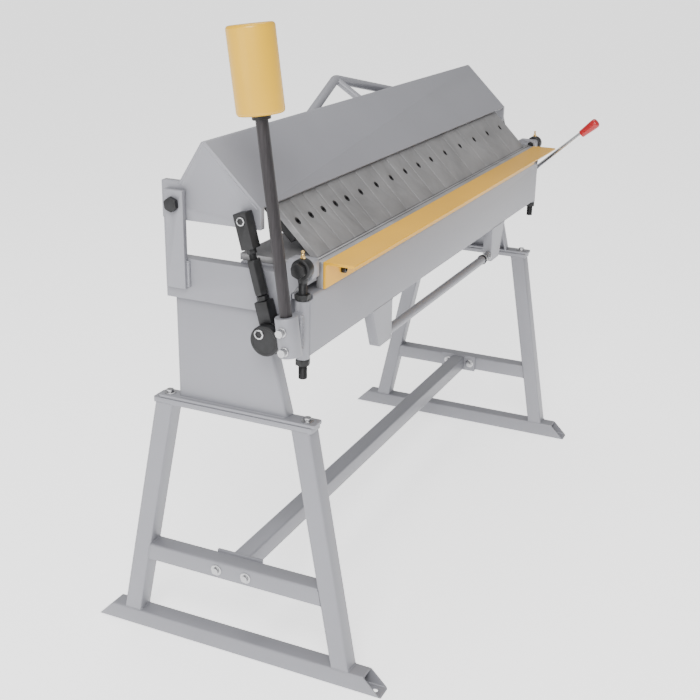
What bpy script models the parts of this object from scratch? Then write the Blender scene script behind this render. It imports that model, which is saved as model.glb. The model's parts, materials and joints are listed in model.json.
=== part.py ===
"""Sheet metal brake with sixteen clamping fingers, on a welded stand.

The operator stands on the -Y side and the machine is long along X.  Left is -X, right is +X, up is +Z.
All sizes are in metres.  The cross-section of the machine is drawn in the Y-Z plane, and heights on the
head of the machine are given above the bed, so that a change of bed height lifts the whole head.
"""

import math

import bmesh
import bpy
from mathutils import Matrix, Vector

# ---------------------------------------------------------------- driving sizes
FINGER_UNIT = 0.0508              # width of the narrowest finger
FINGER_WIDTHS = [1.0] * 5 + [1.5] * 6 + [2.0] * 5      # in finger units, from left to right
WORKING_WIDTH = FINGER_UNIT * sum(FINGER_WIDTHS)
BED_HEIGHT = 0.833                # top of the bed above the floor
STAND_HEIGHT = 0.522              # top of the stand's legs
SEAT_GAP = 0.0003                 # between pieces that touch
RUNNING_GAP = 0.0001              # around a pin in its bore
SIDE_PLAY = 0.002                 # beside a moving piece

# stand
TUBE = 0.038                      # square tube, outside
TUBE_WALL = 0.0025
FOOT_LENGTH = 0.652
LEG_TOP_FRONT, LEG_TOP_REAR = -0.1735, 0.157           # outer corners of the legs under the top plate
LEG_FLOOR_FRONT, LEG_FLOOR_REAR = -0.265, 0.266        # where the outer lines of the legs meet the floor
CROSS_TUBE_TOP = 0.205
TOP_PLATE = 0.010
TOP_PLATE_LIP = 0.004             # top plate past the legs
STRETCHER_PLATE = 0.005
STRETCHER_PLATE_LENGTH = 0.102
STRETCHER_PLATE_HEIGHT = 0.045
STRETCHER_BOLT_SPACING = 0.066
ANCHOR_HOLE = 0.006               # radius, in the floor wall of each foot tip

# side frames
END_SPACE = 0.0374                # from the last finger to the cheek
CHEEK = 0.025
CHEEK_TOP, CHEEK_BOTTOM = -0.017, -0.093               # heights above the bed
CHEEK_REAR, CHEEK_FRONT = 0.118, -0.137
PIVOT_BOSS_FRONT, PIVOT_BOSS_TOP = -0.179, 0.012
CHEEK_STEP = 0.012                # cheek proud of the column
COLUMN_WALL = 0.005
COLUMN_DEPTH = 0.027              # along X, over the flanges
COLUMN_REAR = 0.110
COLUMN_FRONT_FOOT, COLUMN_FRONT_KNEE = -0.122, -0.094
KNEE_HEIGHT = 0.117               # of the column's knee, above its foot
BASE_FLANGE = 0.006
BASE_FLANGE_FRONT, BASE_FLANGE_REAR = -0.182, 0.151
UPRIGHT = 0.011
UPRIGHT_WIDTH = 0.040
UPRIGHT_TOP = 0.025               # above the beam pivot
UPRIGHT_FOOT = -0.071             # above the bed
WELD_LEG = 0.007

# bed
BED_PLATE = 0.012
BED_FRONT, BED_REAR = -0.1635, -0.022
BED_BEVEL = 0.010
BED_BEAM_WALL = 0.006
BED_BEAM_DEPTH = 0.132            # below the bed's top
BED_SIDE_GAP = 0.001

# upper beam
PIVOT_Y, PIVOT_Z = 0.091, 0.083   # beam pivot, above the bed
RIDGE_Y, RIDGE_Z = 0.033, 0.200
LIP_Y, LIP_Z = -0.0795, 0.092
REAR_SLOPE = math.radians(57.3)
ROOF_SHEET = 0.005
REAR_EDGE_Z = 0.117
END_PLATE = 0.012
END_PLATE_BOTTOM = 0.053
LUG_REAR, LUG_TOP = 0.121, 0.122
RIB = 0.008
RIB_COUNT = 3
TRUSS_RADIUS = 0.010
TRUSS_HALF_SPAN = 0.250
TRUSS_PEAK_Y, TRUSS_PEAK_Z = 0.1065, 0.224

# fingers
NOSE_Y = -0.1597
NOSE_LIFT = 0.0004                # nose above the bed
FINGER_SLOPE = math.radians(45)
FINGER_THICKNESS = 0.012
FINGER_LENGTH = 0.139             # along the slope
FINGER_SEAM = 0.0004
SCREW_STATION = 0.0768            # along the slope from the nose
SCREW_RADIUS, SCREW_HEAD_RADIUS, SCREW_HEAD = 0.004, 0.0065, 0.0075
COUNTERBORE_RADIUS, COUNTERBORE_DEPTH = 0.0077, 0.0085
RAIL_START, RAIL_WAIST_START, RAIL_WAIST_END, RAIL_END = 0.053, 0.094, 0.118, 0.140
RAIL_THICKNESS, RAIL_WAIST = 0.014, 0.006

# clamp linkage
LINK_PIN_Y, LINK_PIN_Z = -0.055, 0.072
SHAFT_Y, SHAFT_Z = -0.0975, -0.1189
THROW_Y, THROW_Z = -0.0101, -0.0113                    # eccentric centre from the shaft, clamped
SHAFT_RADIUS, SPIGOT_RADIUS, SPIGOT = 0.012, 0.005, 0.025
BOSS_RADIUS, BOSS = 0.009, 0.0015
BUSH_RADIUS, BUSH_FLANGE_RADIUS = 0.0155, 0.018
EAR_FRONT, EAR_DEPTH = -0.128, 0.050
LINK_WIDTH = 0.025
CLEVIS_ABOVE, CLEVIS_BELOW = 0.014, 0.050
LINK_PIN_RADIUS = 0.008
THREAD_RADIUS = 0.007
LOCK_NUT_FLATS, TURNBUCKLE_FLATS = 0.020, 0.022
TURNBUCKLE_START, TURNBUCKLE_END = 0.069, 0.132
JOURNAL_RADIUS, RING_BORE, RING_RADIUS = 0.0205, 0.0225, 0.029
RING_SHIFT = 0.0018               # ring forward of the journal, so that it clears it on the whole stroke
DISC_RADIUS, DISC_THICKNESS = 0.028, 0.016
HUB_THICKNESS = 0.028             # of the right disc, which takes the lever
LEVER_ANGLE = math.radians(42)
LEVER_RADIUS, LEVER_LENGTH = 0.008, 0.287
LEVER_INSET = 0.011               # lever behind the face of the right disc
GRIP_SMALL, GRIP_LARGE, GRIP_LENGTH = 0.0100, 0.013, 0.055

# apron
AXIS_Y, AXIS_Z = -0.166, 0.0      # apron pivot, above the bed
SLEEVE_RADIUS = 0.0127
SLEEVE_TOP, SLEEVE_BOTTOM = -0.0555, -0.162
EYE_RADIUS, EYE_WIDTH = 0.0185, 0.020
PIVOT_BOLT_RADIUS, PIVOT_HEAD_FLATS = 0.008, 0.024
PIVOT_HEAD = 0.010                # thickness of the pivot bolts' heads
STUD_RADIUS, STUD_END = 0.008, -0.199
FLANGE_NUT_RADIUS, FLANGE_NUT_COLLAR = 0.0145, 0.002
NUT_FLATS, NUT_HEIGHT = 0.024, 0.011
APRON_PLATE = 0.008
APRON_FRONT = -0.1795
APRON_TOP, APRON_BOTTOM = -0.048, -0.1555
APRON_SHELF = 0.035               # depth of the shelf under the bending bar
BAR_REAR, BAR_TOP = -0.1665, 0.0004
BAR_END_SPACE = 0.014             # from the cheek to the bending bar
ANGLE_WALL = 0.005
ANGLE_DROP, ANGLE_REACH = 0.0485, 0.060
BRACKET_INNER, BRACKET_TOP_WIDTH, BRACKET_FOOT_WIDTH = 0.316, 0.100, 0.062
BRACKET_DROP, BRACKET_DEPTH = 0.084, 0.021
TRUSS_ROD_RADIUS = 0.010
TRUSS_ROD_Z = -0.226
STRUT_NUT_FLATS = 0.022

# handle
HANDLE_LEAN = 0.130               # rearward run for each metre of height
HANDLE_FOOT_Y, HANDLE_FOOT_Z = -0.1700, -0.140         # a point on its line
HANDLE_RADIUS, HANDLE_LENGTH = 0.0105, 0.430
SOCKET_RADIUS, SOCKET_HEIGHT = 0.020, 0.070
WEIGHT_RADIUS, WEIGHT_LENGTH, WEIGHT_EDGE = 0.0395, 0.140, 0.006
WEIGHT_SEAT = 0.060               # length of rod inside the weight
WEIGHT_PLAY = 0.0015              # from the weight to the pivot bolts that it swings past
RIM_STEPS = 3
SET_BOLT_RADIUS, SET_BOLT_FLATS, SET_BOLT_HEAD = 0.004, 0.013, 0.008

# ---------------------------------------------------------------- derived places
CHEEK_INNER = WORKING_WIDTH / 2 + END_SPACE
CHEEK_OUTER = CHEEK_INNER + CHEEK
STAND_OUTER = CHEEK_OUTER - 0.0005
COLUMN_OUTER = CHEEK_OUTER - CHEEK_STEP
UPRIGHT_INNER = CHEEK_OUTER + SEAT_GAP
UPRIGHT_OUTER = UPRIGHT_INNER + UPRIGHT
BEAM_OUTER = CHEEK_OUTER - 0.0005
LINK_INNER = CHEEK_OUTER + SIDE_PLAY
LINK_OUTER = LINK_INNER + LINK_WIDTH
DISC_INNER = LINK_OUTER + 0.001
HANDLE_X = UPRIGHT_OUTER + SEAT_GAP + PIVOT_HEAD + WEIGHT_PLAY + WEIGHT_RADIUS
STAND_TOP = STAND_HEIGHT + TOP_PLATE
COLUMN_FOOT = STAND_TOP + SEAT_GAP + BASE_FLANGE
ROUND = 28
FINE_ROUND = 36
SMALL_ROUND = 12


def bed(height):
    """Height above the floor of a point given above the bed."""
    return BED_HEIGHT + height


def link_point(along, across=0.0):
    """Y and Z of a point on the clamp link, measured from its top pin towards the eccentric."""
    top = Vector((LINK_PIN_Y, bed(LINK_PIN_Z)))
    direction = (eccentric_centre() - top).normalized()
    side = Vector((-direction.y, direction.x))
    return top + direction * along + side * across


def eccentric_centre():
    return Vector((SHAFT_Y + THROW_Y, bed(SHAFT_Z) + THROW_Z))


def ring_centre():
    return eccentric_centre() - Vector((RING_SHIFT, 0.1 * RING_SHIFT))


def link_length():
    return (eccentric_centre() - Vector((LINK_PIN_Y, bed(LINK_PIN_Z)))).length


def on_finger(along, depth):
    """Y and Z of a point on a finger: along the slope from the nose, and below its upper face."""
    y = NOSE_Y + along * math.cos(FINGER_SLOPE) + depth * math.sin(FINGER_SLOPE)
    z = bed(NOSE_LIFT) + along * math.sin(FINGER_SLOPE) - depth * math.cos(FINGER_SLOPE)
    return Vector((y, z))


# ---------------------------------------------------------------- shape tools
def clear_scene():
    for item in list(bpy.data.objects):
        bpy.data.objects.remove(item, do_unlink=True)


def new_object(name, mesh_builder):
    shape = bmesh.new()
    mesh_builder(shape)
    bmesh.ops.recalc_face_normals(shape, faces=shape.faces)
    mesh = bpy.data.meshes.new(name)
    shape.to_mesh(mesh)
    shape.free()
    item = bpy.data.objects.new(name, mesh)
    bpy.context.scene.collection.objects.link(item)
    return item


def prism(name, outline, low, high, hole=None):
    """An outline of (y, z) points drawn out along X, with an optional hole of as many points."""
    def build(shape):
        if hole is None:
            face = shape.faces.new([shape.verts.new((low, y, z)) for y, z in outline])
            grown = bmesh.ops.extrude_face_region(shape, geom=[face])["geom"]
            moved = [part for part in grown if isinstance(part, bmesh.types.BMVert)]
            bmesh.ops.translate(shape, verts=moved, vec=(high - low, 0, 0))
            return
        loops = {}
        for label, points in (("outer", outline), ("inner", hole)):
            for end in (low, high):
                loops[label, end] = [shape.verts.new((end, y, z)) for y, z in points]
        count = len(outline)
        for index in range(count):
            following = (index + 1) % count
            for first, second in ((("outer", low), ("outer", high)), (("inner", low), ("inner", high)),
                                  (("outer", low), ("inner", low)), (("outer", high), ("inner", high))):
                one, two = loops[first], loops[second]
                shape.faces.new((one[index], one[following], two[following], two[index]))
    return new_object(name, build)


def block(name, low, high):
    """A box between two corners."""
    outline = [(low[1], low[2]), (high[1], low[2]), (high[1], high[2]), (low[1], high[2])]
    return prism(name, outline, low[0], high[0])


def rod(name, start, end, radius, end_radius=None, segments=ROUND, turn=0.0):
    """A round or, with six segments, a hexagonal bar between two points."""
    start, end = Vector(start), Vector(end)
    axis = end - start

    def build(shape):
        placing = Matrix.Translation((start + end) / 2) @ axis.to_track_quat("Z", "Y").to_matrix().to_4x4()
        bmesh.ops.create_cone(shape, cap_ends=True, segments=segments, radius1=radius,
                              radius2=radius if end_radius is None else end_radius, depth=axis.length,
                              matrix=placing @ Matrix.Rotation(turn, 4, "Z"))
    return new_object(name, build)


def turned(name, start, towards, profile, segments=FINE_ROUND):
    """A solid of revolution: (distance from the start, radius) along the line towards a point."""
    start = Vector(start)
    axis = (Vector(towards) - start).normalized()

    def build(shape):
        placing = Matrix.Translation(start) @ axis.to_track_quat("Z", "Y").to_matrix().to_4x4()
        rings = []
        for along, radius in profile:
            ring = []
            for index in range(segments):
                angle = 2 * math.pi * index / segments
                place = Vector((radius * math.cos(angle), radius * math.sin(angle), along))
                ring.append(shape.verts.new(placing @ place))
            rings.append(ring)
        for lower, upper in zip(rings, rings[1:]):
            for index in range(segments):
                following = (index + 1) % segments
                shape.faces.new((lower[index], lower[following], upper[following], upper[index]))
        shape.faces.new(rings[0])
        shape.faces.new(rings[-1])
    return new_object(name, build)


def cross_rod(name, centre, low, high, radius, segments=ROUND):
    """A bar along X, centred on a (y, z) point."""
    return rod(name, (low, centre[0], centre[1]), (high, centre[0], centre[1]), radius, segments=segments)


def hexagon(name, start, end, flats):
    return rod(name, start, end, flats / math.sqrt(3), segments=6)


def combine(target, tools, operation):
    """Join the tools to the target, or cut them from it, and keep the result as one mesh."""
    for tool in tools:
        step = target.modifiers.new(operation.title(), "BOOLEAN")
        step.operation = operation
        step.solver = "EXACT"
        step.object = tool
    bpy.context.view_layer.update()
    solid = target.evaluated_get(bpy.context.evaluated_depsgraph_get())
    target.modifiers.clear()
    old = target.data
    target.data = bpy.data.meshes.new_from_object(solid)
    bpy.data.meshes.remove(old)
    target.data.name = target.name
    for tool in tools:
        bpy.data.objects.remove(tool, do_unlink=True)
    return target


def weld(target, *tools):
    return combine(target, tools, "UNION")


def cut(target, *tools):
    return combine(target, tools, "DIFFERENCE")


def mirrored(x_values, side):
    """Distances from the middle as X positions on one side, lowest first."""
    return sorted(side * value for value in x_values)


def side_prism(name, side, outline, inner, outer, hole=None):
    low, high = mirrored((inner, outer), side)
    return prism(name, outline, low, high, hole)


def side_rod(name, side, centre, inner, outer, radius, segments=ROUND):
    low, high = mirrored((inner, outer), side)
    return cross_rod(name, centre, low, high, radius, segments)


SIDES = (("left", -1), ("right", 1))


# ---------------------------------------------------------------- stand
def leg_lines():
    """Outer and inner edge of the front and rear leg, as (y at the floor, y at the leg's top)."""
    lines = []
    for floor_y, top_y in ((LEG_FLOOR_FRONT, LEG_TOP_FRONT), (LEG_FLOOR_REAR, LEG_TOP_REAR)):
        slant = math.hypot(top_y - floor_y, STAND_HEIGHT) / STAND_HEIGHT
        lines.append((floor_y, top_y, -math.copysign(slant, floor_y)))
    return lines


def leg_outline(line, inset, bottom, top):
    floor_y, top_y, inward = line

    def edge(height, distance):
        return floor_y + (top_y - floor_y) * height / STAND_HEIGHT + inward * distance
    near, far = inset, TUBE - inset
    return [(edge(bottom, near), bottom), (edge(bottom, far), bottom),
            (edge(top, far), top), (edge(top, near), top)]


def make_stand(label, side):
    inner, outer = STAND_OUTER - TUBE, STAND_OUTER
    half = FOOT_LENGTH / 2
    foot = side_prism(label + "_stand", side,
                      [(-half, 0), (half, 0), (half - TUBE, TUBE), (-half + TUBE, TUBE)], inner, outer)
    cross_low = CROSS_TUBE_TOP - TUBE
    middle = (cross_low + CROSS_TUBE_TOP) / 2
    shells, hollows = [], []
    for line in leg_lines():
        shells.append(side_prism("leg", side, leg_outline(line, 0, TUBE / 2, STAND_HEIGHT), inner, outer))
        hollows.append(side_prism("leg_hollow", side,
                                  leg_outline(line, TUBE_WALL, TUBE / 2, STAND_HEIGHT - TUBE_WALL),
                                  inner + TUBE_WALL, outer - TUBE_WALL))
    front, rear = (leg_outline(line, TUBE / 2, middle, STAND_HEIGHT)[0][0] for line in leg_lines())
    shells.append(side_prism("cross", side, [(front, cross_low), (rear, cross_low), (rear, CROSS_TUBE_TOP),
                                             (front, CROSS_TUBE_TOP)], inner, outer))
    hollows.append(side_prism("cross_hollow", side,
                              [(front, cross_low + TUBE_WALL), (rear, cross_low + TUBE_WALL),
                               (rear, CROSS_TUBE_TOP - TUBE_WALL), (front, CROSS_TUBE_TOP - TUBE_WALL)],
                              inner + TUBE_WALL, outer - TUBE_WALL))
    plate_front, plate_rear = LEG_TOP_FRONT - TOP_PLATE_LIP, LEG_TOP_REAR + TOP_PLATE_LIP
    shells.append(side_prism("plate", side,
                             [(plate_front, STAND_HEIGHT - SEAT_GAP), (plate_rear, STAND_HEIGHT - SEAT_GAP),
                              (plate_rear, STAND_TOP), (plate_front, STAND_TOP)], inner, outer))
    hollows.append(side_prism("foot_hollow", side,
                              [(-half - TUBE, TUBE_WALL), (half + TUBE, TUBE_WALL),
                               (half + TUBE, TUBE - TUBE_WALL), (-half - TUBE, TUBE - TUBE_WALL)],
                              inner + TUBE_WALL, outer - TUBE_WALL))
    stand_x = side * (outer - TUBE / 2)
    for end in (-1, 1):
        hole_y = end * (half - TUBE / 2)
        hollows.append(rod("anchor", (stand_x, hole_y, -TUBE), (stand_x, hole_y, TUBE / 2), ANCHOR_HOLE,
                           segments=SMALL_ROUND))
    weld(foot, *shells)
    return cut(foot, *hollows)


def make_stretcher():
    """The long tube between the stands, with a welded end plate bolted to each cross tube."""
    middle = CROSS_TUBE_TOP - TUBE / 2
    reach = STAND_OUTER - TUBE - SEAT_GAP
    inner = TUBE / 2 - TUBE_WALL

    def square(size):
        return [(-size, middle - size), (size, middle - size), (size, middle + size), (-size, middle + size)]
    tube = prism("stretcher", square(TUBE / 2), -reach + STRETCHER_PLATE / 2, reach - STRETCHER_PLATE / 2,
                 square(inner))
    plates, holes = [], []
    for label, side in SIDES:
        long, tall = STRETCHER_PLATE_LENGTH / 2, STRETCHER_PLATE_HEIGHT / 2
        plates.append(side_prism("plate", side, [(-long, middle - tall), (long, middle - tall),
                                                 (long, middle + tall), (-long, middle + tall)],
                                 reach - STRETCHER_PLATE, reach))
        holes.append(side_rod("drain", side, (0, middle), reach - 2 * STRETCHER_PLATE, reach + TUBE,
                              inner / 2, SMALL_ROUND))
    weld(tube, *plates)
    return cut(tube, *holes)


# ---------------------------------------------------------------- side frames
def make_column(label, side):
    """A folded channel, open inwards, on a base flange, with an ear in front that holds the shaft."""
    top = bed(CHEEK_BOTTOM) - SEAT_GAP
    knee = COLUMN_FOOT + KNEE_HEIGHT
    lean = (COLUMN_FRONT_KNEE - COLUMN_FRONT_FOOT) / KNEE_HEIGHT
    ear_foot = top - EAR_DEPTH
    neck_y = COLUMN_FRONT_KNEE + lean * (ear_foot - knee)
    front = [(COLUMN_FRONT_FOOT, COLUMN_FOOT), (neck_y, ear_foot)]
    outer, inner = COLUMN_OUTER, COLUMN_OUTER - COLUMN_DEPTH
    flare = (EAR_FRONT, ear_foot + abs(EAR_FRONT - neck_y) / 2)
    web_outline = [front[0], (COLUMN_REAR, COLUMN_FOOT), (COLUMN_REAR, top), (EAR_FRONT, top),
                   flare, front[1]]
    column = side_prism(label + "_column", side, web_outline, outer - COLUMN_WALL, outer)
    shift = COLUMN_WALL
    upper_y = COLUMN_FRONT_KNEE + lean * (top - knee)
    front_outline = [(COLUMN_FRONT_FOOT, COLUMN_FOOT), (COLUMN_FRONT_FOOT + shift, COLUMN_FOOT),
                     (upper_y + shift, top), (upper_y, top)]
    front_flange = side_prism("flange", side, front_outline, inner, outer - SEAT_GAP)
    rear_outline = [(COLUMN_REAR - shift, COLUMN_FOOT), (COLUMN_REAR, COLUMN_FOOT), (COLUMN_REAR, top),
                    (COLUMN_REAR - shift, top)]
    rear_flange = side_prism("flange", side, rear_outline, inner, outer - SEAT_GAP)
    foot = side_prism("foot", side, [(BASE_FLANGE_FRONT, COLUMN_FOOT - BASE_FLANGE),
                                     (BASE_FLANGE_REAR, COLUMN_FOOT - BASE_FLANGE),
                                     (BASE_FLANGE_REAR, COLUMN_FOOT + SEAT_GAP),
                                     (BASE_FLANGE_FRONT, COLUMN_FOOT + SEAT_GAP)],
                      STAND_OUTER - TUBE + SIDE_PLAY, STAND_OUTER - SIDE_PLAY)
    weld(column, front_flange, rear_flange, foot)
    return cut(column, side_rod("bore", side, (SHAFT_Y, bed(SHAFT_Z)), inner, outer + CHEEK,
                                BUSH_RADIUS + RUNNING_GAP))


def make_cheek(label, side):
    """The heavy bar on top of the column, with the boss in front that carries the apron pivot."""
    outline = [(CHEEK_REAR, bed(CHEEK_BOTTOM)), (CHEEK_REAR, bed(CHEEK_TOP)),
               (CHEEK_FRONT + 0.022, bed(CHEEK_TOP)),
               (CHEEK_FRONT + 0.003, bed(PIVOT_BOSS_TOP)), (PIVOT_BOSS_FRONT, bed(PIVOT_BOSS_TOP)),
               (PIVOT_BOSS_FRONT, bed(-0.020)), (AXIS_Y + 0.014, bed(-0.036)), (CHEEK_FRONT, bed(-0.051)),
               (CHEEK_FRONT, bed(CHEEK_BOTTOM))]
    cheek = side_prism(label + "_cheek", side, outline, CHEEK_INNER, CHEEK_OUTER)
    return cut(cheek, side_rod("bore", side, (AXIS_Y, bed(AXIS_Z)), CHEEK_INNER - CHEEK, CHEEK_OUTER + CHEEK,
                               PIVOT_BOLT_RADIUS + RUNNING_GAP))


def make_upright(label, side):
    """The flat bar that carries the beam pivot, with its weld along the front edge on the cheek."""
    front, rear = PIVOT_Y - UPRIGHT_WIDTH / 2, PIVOT_Y + UPRIGHT_WIDTH / 2
    top = bed(PIVOT_Z) + UPRIGHT_TOP
    foot = bed(UPRIGHT_FOOT)
    upright = side_prism(label + "_upright", side, [(front, foot), (rear, foot), (rear, top), (front, top)],
                         UPRIGHT_INNER, UPRIGHT_OUTER)
    seam = bed(CHEEK_TOP)

    def build(shape):
        corners = [(UPRIGHT_INNER, front + SEAT_GAP), (UPRIGHT_INNER, front - WELD_LEG),
                   (UPRIGHT_INNER + WELD_LEG, front + SEAT_GAP)]
        face = shape.faces.new([shape.verts.new((side * x, y, foot)) for x, y in corners])
        grown = bmesh.ops.extrude_face_region(shape, geom=[face])["geom"]
        moved = [part for part in grown if isinstance(part, bmesh.types.BMVert)]
        bmesh.ops.translate(shape, verts=moved, vec=(0, 0, seam - foot))
    weld(upright, new_object("bead", build))
    return cut(upright, side_rod("bore", side, (PIVOT_Y, bed(PIVOT_Z)), CHEEK_OUTER - CHEEK,
                                 UPRIGHT_OUTER + CHEEK, PIVOT_BOLT_RADIUS + RUNNING_GAP))


def headed_bolt(name, side, centre, tip, seat, head, radius, flats):
    """A hexagon bolt along X: tip and seat of the shank, then the head, as distances from the middle."""
    shank = side_rod(name, side, centre, tip, seat + head / 2, radius)
    cap = side_rod("head", side, centre, seat, seat + head, flats / math.sqrt(3), 6)
    return weld(shank, cap)


def make_beam_pivot_bolt(label, side):
    centre = (PIVOT_Y, bed(PIVOT_Z))
    inside = BEAM_OUTER - END_PLATE - SIDE_PLAY / 4
    bolt = headed_bolt(label + "_beam_pivot_bolt", side, centre, inside - 0.014, UPRIGHT_OUTER + SEAT_GAP,
                       PIVOT_HEAD, PIVOT_BOLT_RADIUS, PIVOT_HEAD_FLATS)
    corner = PIVOT_HEAD_FLATS / math.sqrt(3)
    return weld(bolt, side_rod("nut", side, centre, inside - 0.013, inside, corner, 6))


def make_apron_pivot_bolt(label, side):
    eye_outer = CHEEK_OUTER + SIDE_PLAY + EYE_WIDTH
    return headed_bolt(label + "_apron_pivot_bolt", side, (AXIS_Y, bed(AXIS_Z)), CHEEK_INNER + SEAT_GAP,
                       eye_outer + SEAT_GAP, PIVOT_HEAD, PIVOT_BOLT_RADIUS, PIVOT_HEAD_FLATS)


def make_shaft_bush(label, side):
    centre = (SHAFT_Y, bed(SHAFT_Z))
    bush = side_rod(label + "_shaft_bush", side, centre, COLUMN_OUTER - COLUMN_WALL - 0.004,
                    COLUMN_OUTER + SEAT_GAP, BUSH_RADIUS)
    collar = side_rod("collar", side, centre, COLUMN_OUTER + SEAT_GAP - 0.0001, LINK_INNER - 0.001,
                      BUSH_FLANGE_RADIUS)
    weld(bush, collar)
    return cut(bush, side_rod("bore", side, centre, COLUMN_OUTER - CHEEK, LINK_OUTER,
                              SHAFT_RADIUS + RUNNING_GAP))


# ---------------------------------------------------------------- bed
def make_bed_plate():
    top, low = bed(0), bed(-BED_PLATE)
    half = CHEEK_INNER - BED_SIDE_GAP
    outline = [(BED_FRONT, top), (BED_REAR, top), (BED_REAR, low), (BED_FRONT + BED_BEVEL, low),
               (BED_FRONT, top - 0.003)]
    return prism("bed_plate", outline, -half, half)


def make_bed_beam():
    """A folded hat section under the bed plate, open downwards."""
    half = CHEEK_INNER - BED_SIDE_GAP
    top = bed(-BED_PLATE) - SEAT_GAP
    low = bed(-BED_BEAM_DEPTH)
    wall = BED_BEAM_WALL
    front_top, front_low = BED_FRONT + 0.0145, BED_FRONT + 0.094
    beam = prism("bed_beam", [(front_top, top), (BED_REAR, top), (BED_REAR, low), (BED_REAR - wall, low),
                              (BED_REAR - wall, top - wall), (front_top + 1.7 * wall, top - wall),
                              (front_low + 1.2 * wall, low), (front_low, low)], -half, half)
    shoulder = bed(CHEEK_BOTTOM) + SIDE_PLAY
    notches = [side_prism("notch", side, [(front_top, low - wall), (0, low - wall), (0, shoulder),
                                          (front_top, shoulder)],
                          COLUMN_OUTER - COLUMN_DEPTH - BED_SIDE_GAP, half + wall) for label, side in SIDES]
    return cut(beam, *notches)


# ---------------------------------------------------------------- upper beam
def rear_slope_y(height):
    """Y on the outside of the rear slope at a height above the bed."""
    return RIDGE_Y + (RIDGE_Z - height) / math.tan(REAR_SLOPE)


def make_beam_shell():
    """The folded roof sheet with its end plates and inner ribs, welded together."""
    front_slope = math.atan2(RIDGE_Z - LIP_Z, RIDGE_Y - LIP_Y)
    inner_lip = (LIP_Y + ROOF_SHEET * math.sin(front_slope), bed(LIP_Z) - ROOF_SHEET * math.cos(front_slope))
    rear_edge = (rear_slope_y(REAR_EDGE_Z), bed(REAR_EDGE_Z))
    inner_rear = (rear_edge[0] - ROOF_SHEET * math.sin(REAR_SLOPE),
                  rear_edge[1] - ROOF_SHEET * math.cos(REAR_SLOPE))
    half_fold = (front_slope + REAR_SLOPE) / 2
    drop = ROOF_SHEET / math.cos(half_fold)
    turn = (REAR_SLOPE - front_slope) / 2
    inner_ridge = (RIDGE_Y - drop * math.sin(turn), bed(RIDGE_Z) - drop * math.cos(turn))
    roof_outline = [(LIP_Y, bed(LIP_Z)), (RIDGE_Y, bed(RIDGE_Z)), rear_edge,
                    inner_rear, inner_ridge, inner_lip]
    overlap = END_PLATE / 2
    reach = BEAM_OUTER - END_PLATE + overlap
    shell = prism("beam_shell", roof_outline, -reach, reach)
    plate_outline = [(LIP_Y, bed(END_PLATE_BOTTOM)), (LIP_Y, bed(LIP_Z)), (RIDGE_Y, bed(RIDGE_Z)),
                     (rear_slope_y(LUG_TOP), bed(LUG_TOP)), (LUG_REAR, bed(LUG_TOP)),
                     (LUG_REAR, bed(END_PLATE_BOTTOM))]
    pieces, bores = [], []
    for label, side in SIDES:
        pieces.append(side_prism("end", side, plate_outline, BEAM_OUTER - END_PLATE, BEAM_OUTER))
        for centre, radius in (((PIVOT_Y, bed(PIVOT_Z)), PIVOT_BOLT_RADIUS),
                               ((LINK_PIN_Y, bed(LINK_PIN_Z)), LINK_PIN_RADIUS)):
            bores.append(side_rod("bore", side, centre, BEAM_OUTER - 2 * END_PLATE, BEAM_OUTER + END_PLATE,
                                  radius + RUNNING_GAP))
    rail_low = on_finger(RAIL_START + 0.026, FINGER_THICKNESS + RAIL_THICKNESS + 2 * SEAT_GAP)
    rail_high = on_finger(RAIL_END + 0.002, FINGER_THICKNESS + RAIL_THICKNESS + 2 * SEAT_GAP)
    half_sheet = ROOF_SHEET / 2
    rib_outline = [tuple(rail_low), tuple(rail_high),
                   (rail_high.x - 0.009, bed(LIP_Z) + (rail_high.x - 0.009 - LIP_Y) * math.tan(front_slope)
                    - half_sheet / math.cos(front_slope)),
                   (RIDGE_Y - half_sheet * math.sin(turn), bed(RIDGE_Z) - half_sheet / math.cos(half_fold)),
                   ((rear_edge[0] + inner_rear[0]) / 2 - 0.001, (rear_edge[1] + inner_rear[1]) / 2 + 0.002),
                   (RIDGE_Y + 0.027, bed(END_PLATE_BOTTOM) + 0.012),
                   tuple(on_finger(RAIL_WAIST_END, FINGER_THICKNESS + RAIL_THICKNESS + 0.004))]
    for index in range(RIB_COUNT):
        centre = (index - (RIB_COUNT - 1) / 2) * WORKING_WIDTH / (RIB_COUNT + 1)
        pieces.append(prism("rib", rib_outline, centre - RIB / 2, centre + RIB / 2))
    weld(shell, *pieces)
    return cut(shell, *bores)


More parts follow.
